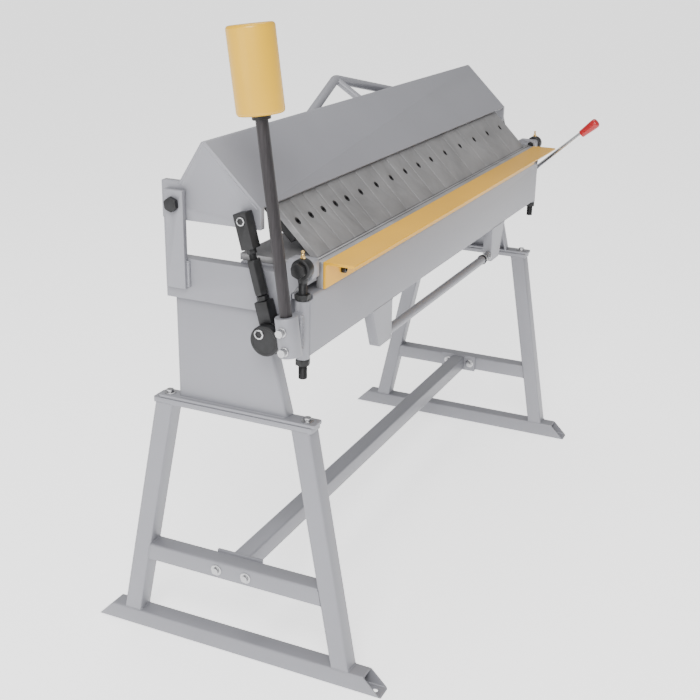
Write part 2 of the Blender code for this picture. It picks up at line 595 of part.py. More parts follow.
def make_beam_truss():
    """The bent tube behind the roof, with its strut, that stops the beam bowing."""
    peak = Vector((0, TRUSS_PEAK_Y, bed(TRUSS_PEAK_Z)))
    normal = Vector((0, math.sin(REAR_SLOPE), math.cos(REAR_SLOPE)))
    on_slope = Vector((0, RIDGE_Y, bed(RIDGE_Z)))
    height = (peak - on_slope).dot(normal)
    foot = peak - normal * height
    down_slope = Vector((0, math.cos(REAR_SLOPE), -math.sin(REAR_SLOPE)))
    truss = None
    for side in (-1, 1):
        base = foot + down_slope * 0.016 + Vector((side * TRUSS_HALF_SPAN, 0, 0))
        past = base - (peak - base).normalized() * 4 * TRUSS_RADIUS
        leg = rod("beam_truss", peak, past, TRUSS_RADIUS, segments=SMALL_ROUND)
        truss = leg if truss is None else weld(truss, leg)

    def ball(shape):
        bmesh.ops.create_uvsphere(shape, u_segments=SMALL_ROUND, v_segments=SMALL_ROUND // 2,
                                  radius=TRUSS_RADIUS * 1.02, matrix=Matrix.Translation(peak))
    strut = rod("strut", peak, foot - normal * 0.3 * TRUSS_RADIUS, TRUSS_RADIUS * 0.8, segments=SMALL_ROUND)
    weld(truss, new_object("elbow", ball), strut)
    inside = on_slope - Vector((0, 0, 1))
    tip = on_slope + normal * SEAT_GAP
    outline = [(tip.y, tip.z), (tip.y + down_slope.y, tip.z + down_slope.z), (inside.y, inside.z)]
    wedge = prism("wedge", outline, -2 * TRUSS_HALF_SPAN, 2 * TRUSS_HALF_SPAN)
    return cut(truss, wedge)


# ---------------------------------------------------------------- fingers
def finger_spans():
    """Left and right edge of each finger."""
    left = -WORKING_WIDTH / 2
    spans = []
    for share in FINGER_WIDTHS:
        right = left + share * FINGER_UNIT
        spans.append((left, right))
        left = right
    return spans


def screw_axis(middle, depth):
    point = on_finger(SCREW_STATION, depth)
    return Vector((middle, point.x, point.y))


def make_finger(number, span):
    outline = [tuple(on_finger(0, 0)), tuple(on_finger(FINGER_LENGTH, 0)),
               tuple(on_finger(FINGER_LENGTH, FINGER_THICKNESS)),
               tuple(on_finger(FINGER_THICKNESS / math.tan(FINGER_SLOPE), FINGER_THICKNESS))]
    left, right = span[0] + FINGER_SEAM / 2, span[1] - FINGER_SEAM / 2
    finger = prism("finger_%02d" % number, outline, left, right)
    middle = (left + right) / 2
    hole = rod("hole", screw_axis(middle, -FINGER_THICKNESS), screw_axis(middle, 2 * FINGER_THICKNESS),
               SCREW_RADIUS + RUNNING_GAP, segments=SMALL_ROUND)
    counterbore = rod("counterbore", screw_axis(middle, -FINGER_THICKNESS),
                      screw_axis(middle, COUNTERBORE_DEPTH), COUNTERBORE_RADIUS, segments=SMALL_ROUND)
    return cut(finger, hole, counterbore)


def make_clamp_rail():
    """The bar under the fingers, waisted between its two seats, with the sixteen finger screws in it."""
    top = FINGER_THICKNESS + SEAT_GAP
    outline = [(RAIL_START, top), (RAIL_END, top), (RAIL_END, top + RAIL_THICKNESS),
               (RAIL_WAIST_END, top + RAIL_THICKNESS), (RAIL_WAIST_END, top + RAIL_WAIST),
               (RAIL_WAIST_START, top + RAIL_WAIST), (RAIL_WAIST_START, top + RAIL_THICKNESS),
               (RAIL_START, top + RAIL_THICKNESS)]
    reach = WORKING_WIDTH / 2 - SIDE_PLAY
    rail = prism("clamp_rail", [tuple(on_finger(along, depth)) for along, depth in outline], -reach, reach)
    screws, sockets = [], []
    head_top = COUNTERBORE_DEPTH - SEAT_GAP - SCREW_HEAD
    for left, right in finger_spans():
        middle = (left + right) / 2
        half_way = screw_axis(middle, head_top + SCREW_HEAD / 2)
        screws.append(rod("screw", half_way, screw_axis(middle, top + RAIL_WAIST), SCREW_RADIUS,
                          segments=SMALL_ROUND))
        screws.append(rod("head", screw_axis(middle, head_top), screw_axis(middle, head_top + SCREW_HEAD),
                          SCREW_HEAD_RADIUS, segments=SMALL_ROUND))
        sockets.append(rod("socket", screw_axis(middle, head_top - SCREW_HEAD), half_way,
                           0.5 * SCREW_HEAD_RADIUS, segments=6))
    weld(rail, *screws)
    return cut(rail, *sockets)


# ---------------------------------------------------------------- clamp linkage
def link_bar(name, side, start, end, radius, segments):
    middle = side * (LINK_INNER + LINK_WIDTH / 2)
    first, last = link_point(start), link_point(end)
    return rod(name, (middle, first.x, first.y), (middle, last.x, last.y), radius, segments=segments)


def link_block(name, side, start, end):
    half = LINK_WIDTH / 2
    corners = ((start, -half), (end, -half), (end, half), (start, half))
    outline = [tuple(link_point(along, across)) for along, across in corners]
    return side_prism(name, side, outline, LINK_INNER, LINK_OUTER)


def make_link_clevis(label, side):
    clevis = link_block(label + "_link_clevis", side, -CLEVIS_ABOVE, CLEVIS_BELOW)
    nut = link_bar("nut", side, CLEVIS_BELOW + SEAT_GAP, CLEVIS_BELOW + 0.009,
                   LOCK_NUT_FLATS / math.sqrt(3), 6)
    stud = link_bar("stud", side, CLEVIS_BELOW - 0.005, TURNBUCKLE_START + 0.014, THREAD_RADIUS, SMALL_ROUND)
    weld(clevis, stud, nut)
    return cut(clevis, side_rod("bore", side, (LINK_PIN_Y, bed(LINK_PIN_Z)), LINK_INNER - CHEEK,
                                LINK_OUTER + CHEEK, LINK_PIN_RADIUS + RUNNING_GAP))


def make_turnbuckle(label, side):
    body = link_bar(label + "_turnbuckle", side, TURNBUCKLE_START, TURNBUCKLE_END,
                    TURNBUCKLE_FLATS / math.sqrt(3), 6)
    return cut(body, link_bar("bore", side, TURNBUCKLE_START - TUBE, TURNBUCKLE_END + TUBE,
                              THREAD_RADIUS + RUNNING_GAP, SMALL_ROUND))


def make_link_eye(label, side):
    """The lower end of the link: a block with a ring around the eccentric, its lock nut and its stud."""
    end = link_length() - RING_BORE
    eye = link_block(label + "_link_eye", side, TURNBUCKLE_END + 0.011, end)
    nut = link_bar("nut", side, TURNBUCKLE_END + 0.002, TURNBUCKLE_END + 0.011 - SEAT_GAP,
                   LOCK_NUT_FLATS / math.sqrt(3), 6)
    stud = link_bar("stud", side, TURNBUCKLE_END - 0.014, TURNBUCKLE_END + 0.016, THREAD_RADIUS, SMALL_ROUND)
    centre = tuple(ring_centre())
    ring = side_rod("ring", side, centre, LINK_INNER, LINK_OUTER, RING_RADIUS, FINE_ROUND)
    weld(eye, ring, stud, nut)
    return cut(eye, side_rod("bore", side, centre, LINK_INNER - CHEEK, LINK_OUTER + CHEEK, RING_BORE,
                             FINE_ROUND))


def make_link_pin(label, side):
    """The shoulder screw that hangs the link on the beam's end plate."""
    centre = (LINK_PIN_Y, bed(LINK_PIN_Z))
    pin = side_rod(label + "_link_pin", side, centre, BEAM_OUTER - END_PLATE, LINK_OUTER + 0.0015,
                   LINK_PIN_RADIUS)
    return cut(pin, side_rod("socket", side, centre, LINK_OUTER - 0.005, LINK_OUTER + CHEEK,
                             0.5 * LINK_PIN_RADIUS, 6))


def disc_outer(label):
    return DISC_INNER + (HUB_THICKNESS if label == "right" else DISC_THICKNESS)


def make_clamp_shaft():
    """The cross shaft, bored at each end for the spigot of an eccentric."""
    centre = (SHAFT_Y, bed(SHAFT_Z))
    reach = LINK_INNER - SEAT_GAP
    shaft = cross_rod("clamp_shaft", centre, -reach, reach, SHAFT_RADIUS)
    bores = [side_rod("bore", side, centre, LINK_INNER - SPIGOT - SEAT_GAP, LINK_OUTER,
                      SPIGOT_RADIUS + RUNNING_GAP, SMALL_ROUND) for label, side in SIDES]
    return cut(shaft, *bores)


def lever_point(distance, x):
    centre = eccentric_centre()
    return Vector((x, centre.x - distance * math.cos(LEVER_ANGLE),
                   centre.y + distance * math.sin(LEVER_ANGLE)))


def lever_plane():
    return DISC_INNER + HUB_THICKNESS - LEVER_INSET


def make_eccentric(label, side):
    """Journal, disc and spigot in one.  The right disc is thicker and takes the lever."""
    centre = tuple(eccentric_centre())
    shaft = (SHAFT_Y, bed(SHAFT_Z))
    face = disc_outer(label)
    eccentric = side_rod(label + "_eccentric", side, centre, DISC_INNER, face, DISC_RADIUS, FINE_ROUND)
    journal_end = DISC_INNER + 0.002
    weld(eccentric, side_rod("journal", side, centre, LINK_INNER, journal_end, JOURNAL_RADIUS, FINE_ROUND),
         side_rod("spigot", side, shaft, LINK_INNER - SPIGOT, DISC_INNER, SPIGOT_RADIUS, SMALL_ROUND),
         side_rod("boss", side, shaft, face - 0.002, face + BOSS, BOSS_RADIUS))
    holes = [side_rod("socket", side, shaft, face - 0.005, face + CHEEK, 0.5 * BOSS_RADIUS, 6)]
    if label == "right":
        holes.append(rod("lever_socket", lever_point(0.010, lever_plane()),
                         lever_point(2 * DISC_RADIUS, lever_plane()), LEVER_RADIUS + RUNNING_GAP,
                         segments=SMALL_ROUND))
    return cut(eccentric, *holes)


def make_clamp_lever():
    x = lever_plane()
    return rod("clamp_lever", lever_point(0.011, x), lever_point(LEVER_LENGTH, x), LEVER_RADIUS,
               segments=SMALL_ROUND)


def make_lever_grip():
    x = lever_plane()
    tip = LEVER_LENGTH + 0.006
    grip = rod("lever_grip", lever_point(tip - GRIP_LENGTH, x), lever_point(tip, x), GRIP_SMALL, GRIP_LARGE)
    return cut(grip, rod("bore", lever_point(0, x), lever_point(LEVER_LENGTH + SEAT_GAP, x),
                         LEVER_RADIUS + RUNNING_GAP, segments=SMALL_ROUND))


# ---------------------------------------------------------------- apron
def sleeve_x():
    return CHEEK_OUTER + SIDE_PLAY + EYE_WIDTH / 2 - 0.001


def make_apron_panel():
    """The apron: front plate and shelf, end sleeves, handle socket and truss brackets, welded together."""
    reach = sleeve_x()
    front, back = APRON_FRONT, APRON_FRONT + APRON_PLATE
    top, low = bed(APRON_TOP), bed(APRON_BOTTOM)
    shelf = front + APRON_SHELF
    outline = [(front, low), (back, low), (back, top - APRON_PLATE), (shelf, top - APRON_PLATE), (shelf, top),
               (front, top)]
    panel = prism("apron_panel", outline, -reach, reach)
    pieces, bores = [], []
    for label, side in SIDES:
        x = side * reach
        pieces.append(rod("sleeve", (x, AXIS_Y, bed(SLEEVE_BOTTOM)), (x, AXIS_Y, bed(SLEEVE_TOP)),
                          SLEEVE_RADIUS))
        bores.append(rod("bore", (x, AXIS_Y, bed(SLEEVE_BOTTOM) - CHEEK), (x, AXIS_Y, bed(APRON_TOP) + CHEEK),
                         STUD_RADIUS + RUNNING_GAP, segments=ROUND))
        bores.append(rod("relief", (x, AXIS_Y, bed(SLEEVE_TOP)), (x, AXIS_Y, bed(APRON_TOP) + CHEEK),
                         FLANGE_NUT_RADIUS + SIDE_PLAY / 2, segments=ROUND))

        def build(shape, side=side):
            inner, drop = BRACKET_INNER, BRACKET_DROP
            corners = [(inner, low + APRON_PLATE), (inner + BRACKET_TOP_WIDTH, low + APRON_PLATE),
                       (inner + BRACKET_FOOT_WIDTH, low - drop), (inner, low - drop)]
            start = front + 0.0005
            face = shape.faces.new([shape.verts.new((side * across, start, z)) for across, z in corners])
            grown = bmesh.ops.extrude_face_region(shape, geom=[face])["geom"]
            moved = [part for part in grown if isinstance(part, bmesh.types.BMVert)]
            bmesh.ops.translate(shape, verts=moved, vec=(0, BRACKET_DEPTH, 0))
        pieces.append(new_object("bracket", build))
        bores.append(side_rod("rod_seat", side, (front + BRACKET_DEPTH / 2, bed(TRUSS_ROD_Z)),
                              BRACKET_INNER - CHEEK, BRACKET_INNER + 0.015,
                              0.6 * TRUSS_ROD_RADIUS + RUNNING_GAP, SMALL_ROUND))
    foot, head = handle_point(-SOCKET_HEIGHT / 2), handle_point(SOCKET_HEIGHT / 2)
    pieces.append(rod("socket", foot, head, SOCKET_RADIUS))
    web_y = (AXIS_Y + handle_point(0).y) / 2
    pieces.append(block("web", (-HANDLE_X + SOCKET_RADIUS / 2, web_y - 0.007, foot.z + 0.002),
                        (-reach - SLEEVE_RADIUS / 2, web_y + 0.007, head.z - 0.002)))
    bores.append(rod("rod_bore", handle_point(-2 * SOCKET_HEIGHT), handle_point(2 * SOCKET_HEIGHT),
                     HANDLE_RADIUS + RUNNING_GAP))
    for place in set_bolt_places():
        bores.append(rod("tapping", place, place - Vector((2 * SOCKET_RADIUS, 0, 0)),
                         SET_BOLT_RADIUS + RUNNING_GAP, segments=SMALL_ROUND))
    weld(panel, *pieces)
    return cut(panel, *bores)


def handle_point(along):
    """A point on the handle rod's centre line, along the line from the middle of its socket."""
    direction = Vector((0, HANDLE_LEAN, 1)).normalized()
    middle = Vector((-HANDLE_X, HANDLE_FOOT_Y + HANDLE_LEAN * 0.035, bed(HANDLE_FOOT_Z) + 0.035))
    return middle + direction * along


def set_bolt_places():
    return [handle_point(offset) for offset in (-0.021, 0.013)]


def make_set_bolt(number, place):
    outward = Vector((-1, 0, 0))
    tip = place + outward * (HANDLE_RADIUS + SEAT_GAP)
    seat = place + outward * (SOCKET_RADIUS + 0.004)
    bolt = rod("handle_set_bolt_%d" % number, tip, seat + outward * 0.002, SET_BOLT_RADIUS,
               segments=SMALL_ROUND)
    return weld(bolt, hexagon("head", seat, seat + outward * SET_BOLT_HEAD, SET_BOLT_FLATS))


def make_handle_rod():
    return rod("handle_rod", handle_point(-SOCKET_HEIGHT / 2), handle_point(HANDLE_LENGTH), HANDLE_RADIUS)


def make_counterweight():
    """The heavy cylinder on the rod, with rounded rims and a collar below it."""
    collar = 1.5 * HANDLE_RADIUS
    profile = [(-0.008, collar), (0.0, collar)]
    for height, turn_from in ((WEIGHT_EDGE, 0.0), (WEIGHT_LENGTH - WEIGHT_EDGE, math.pi / 2)):
        for step in range(RIM_STEPS + 1):
            angle = turn_from + math.pi / 2 * step / RIM_STEPS
            profile.append((height - WEIGHT_EDGE * math.cos(angle),
                            WEIGHT_RADIUS - WEIGHT_EDGE + WEIGHT_EDGE * math.sin(angle)))
    base = handle_point(HANDLE_LENGTH - WEIGHT_SEAT)
    weight = turned("counterweight", base, handle_point(HANDLE_LENGTH), profile)
    return cut(weight, rod("bore", handle_point(0), handle_point(HANDLE_LENGTH + SEAT_GAP),
                           HANDLE_RADIUS + RUNNING_GAP))


def bar_reach():
    return CHEEK_INNER - BAR_END_SPACE


def make_bending_bar():
    low = bed(APRON_TOP) + SEAT_GAP
    top = bed(BAR_TOP)
    front = APRON_FRONT + 0.0005
    outline = [(front, low), (BAR_REAR, low), (BAR_REAR, top), (front, top)]
    return prism("bending_bar", outline, -bar_reach(), bar_reach())


def make_extension_angle():
    """The yellow angle bolted along the front of the bending bar."""
    back = APRON_FRONT + 0.0005 - SEAT_GAP
    top = bed(BAR_TOP) + 0.0005
    low = top - ANGLE_DROP
    outline = [(back, low), (back, top), (back - ANGLE_REACH, top), (back - ANGLE_REACH, top - ANGLE_WALL),
               (back - ANGLE_WALL, top - ANGLE_WALL), (back - ANGLE_WALL, low)]
    return prism("extension_angle", outline, -bar_reach() + 0.001, bar_reach() - 0.001)


def make_eye_bolt(label, side):
    """The eye that hangs the apron on its pivot bolt, with the two nuts that set its height."""
    x = side * sleeve_x()
    middle = CHEEK_OUTER + SIDE_PLAY + EYE_WIDTH / 2
    ring = side_rod(label + "_eye_bolt", side, (AXIS_Y, bed(AXIS_Z)), middle - EYE_WIDTH / 2,
                    middle + EYE_WIDTH / 2, EYE_RADIUS, FINE_ROUND)

    def at(height):
        return (x, AXIS_Y, bed(height))
    collar = SLEEVE_TOP + SEAT_GAP
    lower = SLEEVE_BOTTOM - SEAT_GAP
    weld(ring, rod("stud", at(AXIS_Z - EYE_RADIUS / 2 - 0.004), at(STUD_END), STUD_RADIUS),
         rod("collar", at(collar), at(collar + FLANGE_NUT_COLLAR), FLANGE_NUT_RADIUS),
         hexagon("nut", at(collar + FLANGE_NUT_COLLAR / 2), at(collar + NUT_HEIGHT), NUT_FLATS),
         hexagon("nut", at(lower), at(lower - NUT_HEIGHT), NUT_FLATS))
    return cut(ring, side_rod("bore", side, (AXIS_Y, bed(AXIS_Z)), CHEEK_OUTER - CHEEK, middle + CHEEK,
                              PIVOT_BOLT_RADIUS + RUNNING_GAP))


def make_truss_rod():
    """The adjustable strut between the apron's brackets, with its nut at the right."""
    centre = (APRON_FRONT + BRACKET_DEPTH / 2, bed(TRUSS_ROD_Z))
    inner = BRACKET_INNER - SEAT_GAP
    rod_end = inner - 0.028
    strut = cross_rod("apron_truss_rod", centre, -inner, rod_end, TRUSS_ROD_RADIUS, SMALL_ROUND)
    screw_end = inner + 0.012
    weld(strut, cross_rod("screw", centre, -screw_end, screw_end, 0.6 * TRUSS_ROD_RADIUS, SMALL_ROUND),
         cross_rod("nut", centre, inner - 0.016, inner - 0.004, STRUT_NUT_FLATS / math.sqrt(3), 6),
         cross_rod("washer", centre, inner - 0.003, inner, 1.25 * TRUSS_ROD_RADIUS, SMALL_ROUND))
    return strut


# ---------------------------------------------------------------- finishes and assembly
FINISHES = {                      # colour, metallic, roughness
    "grey_paint": ((0.52, 0.52, 0.56), 0.1, 0.38),
    "ground_steel": ((0.38, 0.375, 0.39), 0.9, 0.42),
    "black_oxide": ((0.012, 0.012, 0.014), 0.6, 0.45),
    "dark_steel": ((0.10, 0.092, 0.096), 0.7, 0.45),
    "zinc": ((0.75, 0.75, 0.77), 1.0, 0.25),
    "chrome": ((0.80, 0.80, 0.80), 1.0, 0.12),
    "yellow_paint": ((0.95, 0.56, 0.06), 0.0, 0.30),
    "red_plastic": ((0.60, 0.02, 0.03), 0.0, 0.30),
    "bronze": ((0.45, 0.28, 0.12), 1.0, 0.35),
}


def make_materials():
    materials = {}
    for name, (colour, metallic, roughness) in FINISHES.items():
        material = bpy.data.materials.new(name)
        material.use_nodes = True
        shader = material.node_tree.nodes["Principled BSDF"]
        shader.inputs["Base Color"].default_value = (*colour, 1.0)
        shader.inputs["Metallic"].default_value = metallic
        shader.inputs["Roughness"].default_value = roughness
        materials[name] = material
    return materials


def make_pieces():
    """Every piece as (object, finish, the moving body that it belongs to)."""
    pieces = [(make_stretcher(), "grey_paint", "frame"), (make_bed_beam(), "grey_paint", "frame"),
              (make_bed_plate(), "ground_steel", "frame"), (make_beam_shell(), "grey_paint", "upper_beam"),
              (make_beam_truss(), "grey_paint", "upper_beam"),
              (make_clamp_rail(), "black_oxide", "upper_beam"),
              (make_clamp_shaft(), "zinc", "clamp_shaft"), (make_clamp_lever(), "chrome", "clamp_shaft"),
              (make_lever_grip(), "red_plastic", "clamp_shaft"), (make_apron_panel(), "grey_paint", "apron"),
              (make_bending_bar(), "ground_steel", "apron"),
              (make_extension_angle(), "yellow_paint", "apron"),
              (make_truss_rod(), "zinc", "apron"), (make_handle_rod(), "dark_steel", "apron"),
              (make_counterweight(), "yellow_paint", "apron")]
    for number, span in enumerate(finger_spans(), 1):
        pieces.append((make_finger(number, span), "ground_steel", "upper_beam"))
    for number, place in enumerate(set_bolt_places(), 1):
        pieces.append((make_set_bolt(number, place), "zinc", "apron"))
    for label, side in SIDES:
        pieces += [(make_stand(label, side), "grey_paint", "frame"),
                   (make_column(label, side), "grey_paint", "frame"),
                   (make_cheek(label, side), "grey_paint", "frame"),
                   (make_upright(label, side), "grey_paint", "frame"),
                   (make_beam_pivot_bolt(label, side), "black_oxide", "frame"),
                   (make_apron_pivot_bolt(label, side), "black_oxide", "frame"),
                   (make_shaft_bush(label, side), "bronze", "frame"),
                   (make_link_pin(label, side), "zinc", "upper_beam"),
                   (make_link_clevis(label, side), "black_oxide", label + "_link"),
                   (make_turnbuckle(label, side), "black_oxide", label + "_link"),
                   (make_link_eye(label, side), "black_oxide", label + "_link"),
                   (make_eccentric(label, side), "black_oxide", "clamp_shaft"),
                   (make_eye_bolt(label, side), "black_oxide", "apron")]
    return pieces


def joint_places():
    """Where each moving body turns."""
    return {"frame": (0, 0, 0), "upper_beam": (0, PIVOT_Y, bed(PIVOT_Z)), "apron": (0, AXIS_Y, bed(AXIS_Z)),
            "clamp_shaft": (0, SHAFT_Y, bed(SHAFT_Z)),
            "left_link": (-LINK_INNER, LINK_PIN_Y, bed(LINK_PIN_Z)),
            "right_link": (LINK_INNER, LINK_PIN_Y, bed(LINK_PIN_Z))}


def footprint_centre(items):
    """Middle of the machine's bounding box in X and Y."""
    corners = [item.data.vertices[index].co for item in items for index in range(len(item.data.vertices))]
    middle = [(min(c[axis] for c in corners) + max(c[axis] for c in corners)) / 2 for axis in (0, 1)]
    return Vector((middle[0], middle[1], 0))


def assemble(pieces):
    """Hang every piece on the empty that marks its joint, with the machine's middle at the origin."""
    machine = bpy.data.objects.new("machine", None)
    bpy.context.scene.collection.objects.link(machine)
    machine.location = -footprint_centre([piece[0] for piece in pieces])
    axes = {}
    for body, place in joint_places().items():
        axis = bpy.data.objects.new(body + "_axis", None)
        bpy.context.scene.collection.objects.link(axis)
        axis.parent = machine
        axis.location = place
        axes[body] = axis
    materials = make_materials()
    for item, finish, body in pieces:
        item.data.transform(Matrix.Translation(-Vector(joint_places()[body])))
        item.parent = axes[body]
        item.data.materials.clear()
        item.data.materials.append(materials[finish])
        item.data.shade_smooth()
        item.data.set_sharp_from_angle(angle=math.radians(35))
    bpy.context.view_layer.update()


clear_scene()
assemble(make_pieces())
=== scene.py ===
import json
import math

import bmesh
import bpy
from bpy.props import FloatProperty, FloatVectorProperty, PointerProperty
from mathutils import Matrix, Vector


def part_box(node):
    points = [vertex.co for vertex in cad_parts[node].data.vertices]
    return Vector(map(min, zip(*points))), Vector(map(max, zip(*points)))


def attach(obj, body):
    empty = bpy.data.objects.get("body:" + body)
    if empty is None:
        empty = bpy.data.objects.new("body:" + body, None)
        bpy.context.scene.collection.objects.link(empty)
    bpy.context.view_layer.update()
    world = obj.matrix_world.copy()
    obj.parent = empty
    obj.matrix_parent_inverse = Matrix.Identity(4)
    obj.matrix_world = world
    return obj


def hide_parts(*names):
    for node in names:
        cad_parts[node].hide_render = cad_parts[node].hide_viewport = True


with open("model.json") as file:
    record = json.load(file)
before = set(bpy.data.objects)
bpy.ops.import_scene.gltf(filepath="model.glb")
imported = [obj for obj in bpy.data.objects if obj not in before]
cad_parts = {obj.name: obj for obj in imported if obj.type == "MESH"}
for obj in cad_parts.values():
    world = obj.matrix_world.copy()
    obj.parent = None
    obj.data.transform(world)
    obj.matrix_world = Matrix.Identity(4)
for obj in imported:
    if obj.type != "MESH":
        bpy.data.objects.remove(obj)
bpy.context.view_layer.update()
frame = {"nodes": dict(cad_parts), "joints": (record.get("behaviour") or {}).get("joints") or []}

bl_info = {
    "name": "Sheet Metal Brake",
    "version": (1, 0, 0),
    "blender": (4, 5, 0),
    "location": "View3D > Sidebar > Brake",
    "description": "Builds the finished pieces of a finger brake around its jointed frame",
    "category": "Object",
}

# ---------------------------------------------------------------- places taken from the frame
LEFT_STAND, RIGHT_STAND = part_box("left_stand"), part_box("right_stand")
MIDDLE = Vector(((LEFT_STAND[0][0] + RIGHT_STAND[1][0]) / 2, (LEFT_STAND[0][1] + LEFT_STAND[1][1]) / 2,
                 0.0))
SIDES = (("left", -1), ("right", 1))
FINGERS = sorted(name for name in frame["nodes"] if name.startswith("finger_"))


def low(node):
    """Lowest corner of a node, measured from the middle of the stands."""
    return Vector(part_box(node)[0]) - MIDDLE


def high(node):
    return Vector(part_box(node)[1]) - MIDDLE


def centre(node):
    return (low(node) + high(node)) / 2


def joint_place(name):
    joint = next(item for item in frame["joints"] if item["name"] == name)
    return Vector(joint["pos_m"]) - MIDDLE


APRON_AXIS = joint_place("apron_hinge")
BEAM_AXIS = joint_place("beam_hinge")
SHAFT_AXIS = joint_place("clamp_shaft_turn")
LINK_AXIS = joint_place("right_link_hinge")
DISC_CENTRE = centre("right_eccentric")
DISC_CENTRE.z = (low("left_eccentric").z + high("left_eccentric").z) / 2
OUTWARD = Vector((1, 0, 0))
UP = Vector((0, 0, 1))
BED_TOP = high("bed_plate").z
STAND_TOP = high("right_stand").z
CHEEK_OUTER = high("right_cheek").x
LINK_INNER, LINK_OUTER = low("right_link_eye").x, high("right_link_eye").x
LINK_DIRECTION = (Vector((0, DISC_CENTRE.y, DISC_CENTRE.z)) - Vector((0, LINK_AXIS.y,
                                                                      LINK_AXIS.z))).normalized()
RAIL_THICKNESS = 0.014
TWO_PI = 2 * math.pi


# ---------------------------------------------------------------- settings
def length(name, default, description):
    return FloatProperty(name=name, description=description, default=default, min=0.0, unit="LENGTH",
                         precision=4)


def colour(name, default, description):
    return FloatVectorProperty(name=name, description=description, default=default, size=3, min=0.0,
                               max=1.0,
                               subtype="COLOR")


class BrakeSizes(bpy.types.PropertyGroup):
    tube_corner: length("Tube corner", 0.0042, "Outer corner radius of the square tube")
    tube_wall: length("Tube wall", 0.0025, "Wall of the square tube")
    sheet_bend: length("Sheet bend", 0.007, "Outer radius of a fold in sheet")
    plate_edge: length("Plate edge", 0.0012, "Rounding of painted plate edges")
    steel_edge: length("Steel edge", 0.0006, "Broken edge of machined steel")
    weld_radius: length("Weld radius", 0.0021, "Half width of the stand's weld beads")
    weld_ripple: length("Weld ripple", 0.0026, "Distance between ripples in a weld")
    frame_bolt: length("Frame bolt flats", 0.013, "Across the flats of the bolts that hold the frame")
    thread_pitch: length("Thread pitch", 0.002, "Pitch of the eye bolts' threads")


class BrakeColours(bpy.types.PropertyGroup):
    paint: colour("Frame paint", (0.235, 0.236, 0.258), "Silver-grey paint")
    steel: colour("Ground steel", (0.300, 0.296, 0.300), "Fingers, bed and bending bar")
    oxide: colour("Black oxide", (0.004, 0.004, 0.0045), "Bolts, links and eccentrics")
    rod: colour("Handle rod", (0.036, 0.033, 0.035), "Dark steel rod")
    weight: colour("Weight", (0.620, 0.345, 0.000), "Counterweight enamel")
    angle: colour("Angle", (0.620, 0.320, 0.002), "Extension angle enamel")
    grip: colour("Grip", (0.360, 0.002, 0.006), "Lever grip")
    zinc: colour("Zinc", (0.480, 0.480, 0.490), "Zinc-plated fasteners")
    brass: colour("Brass", (0.720, 0.480, 0.180), "Grease nipples")
    bronze: colour("Bronze", (0.450, 0.280, 0.120), "Shaft bushes")


class BrakeStage(bpy.types.PropertyGroup):
    floor: colour("Floor", (0.900, 0.900, 0.905), "Plain pale floor")
    azimuth: FloatProperty(name="Azimuth", description="Camera heading", default=math.radians(-65.19),
                           subtype="ANGLE")
    elevation: FloatProperty(name="Elevation", description="Camera height angle",
                             default=math.radians(20.519),
                             subtype="ANGLE")
    roll: FloatProperty(name="Roll", description="Camera roll", default=math.radians(0.948),
                        subtype="ANGLE")
    lens: FloatProperty(name="Lens", description="Focal length in millimetres", default=58.3, min=1.0)
    place: FloatVectorProperty(name="Place",
                               description="Camera, from the middle of the stands on the floor",
                               default=(-2.3222, -1.0141, 1.3780), size=3, subtype="TRANSLATION")


def sizes():
    return bpy.context.scene.brake_sizes


def colours():
    return bpy.context.scene.brake_colours


# ---------------------------------------------------------------- outlines
def rounded(outline, radius, steps=5):
    """An outline of 2-D points with its corners turned into arcs.  One radius, or one for each corner."""
    radii = radius if isinstance(radius, (list, tuple)) else [radius] * len(outline)
    points = [Vector(point) for point in outline]
    result = []
    for index, corner in enumerate(points):
        bend = radii[index]
        before = (points[index - 1] - corner).normalized()
        after = (points[(index + 1) % len(points)] - corner).normalized()
        half = before.angle(after) / 2
        if bend <= 0 or half > math.radians(89):
            result.append(corner)
            continue
        middle = corner + (before + after).normalized() * bend / math.sin(half)
        arm = corner + before * bend / math.tan(half) - middle
        turn = math.copysign(math.pi - 2 * half, before.x * after.y - before.y * after.x)
        for step in range(steps + 1):
            result.append(middle + Matrix.Rotation(-turn * step / steps, 2) @ arm)
    return result


def rectangle(low_corner, high_corner):
    (a, b), (c, d) = low_corner, high_corner
    return [(a, b), (c, b), (c, d), (a, d)]


def facing(direction):
    """A turn that takes +Z to a direction, with X kept level where it can be."""
    along = Vector(direction).normalized()
    across = Vector((1, 0, 0)) if abs(along.x) < 0.9 else Vector((0, 1, 0))
    side = (across - along * across.dot(along)).normalized()
    return Matrix((side, along.cross(side), along)).transposed()


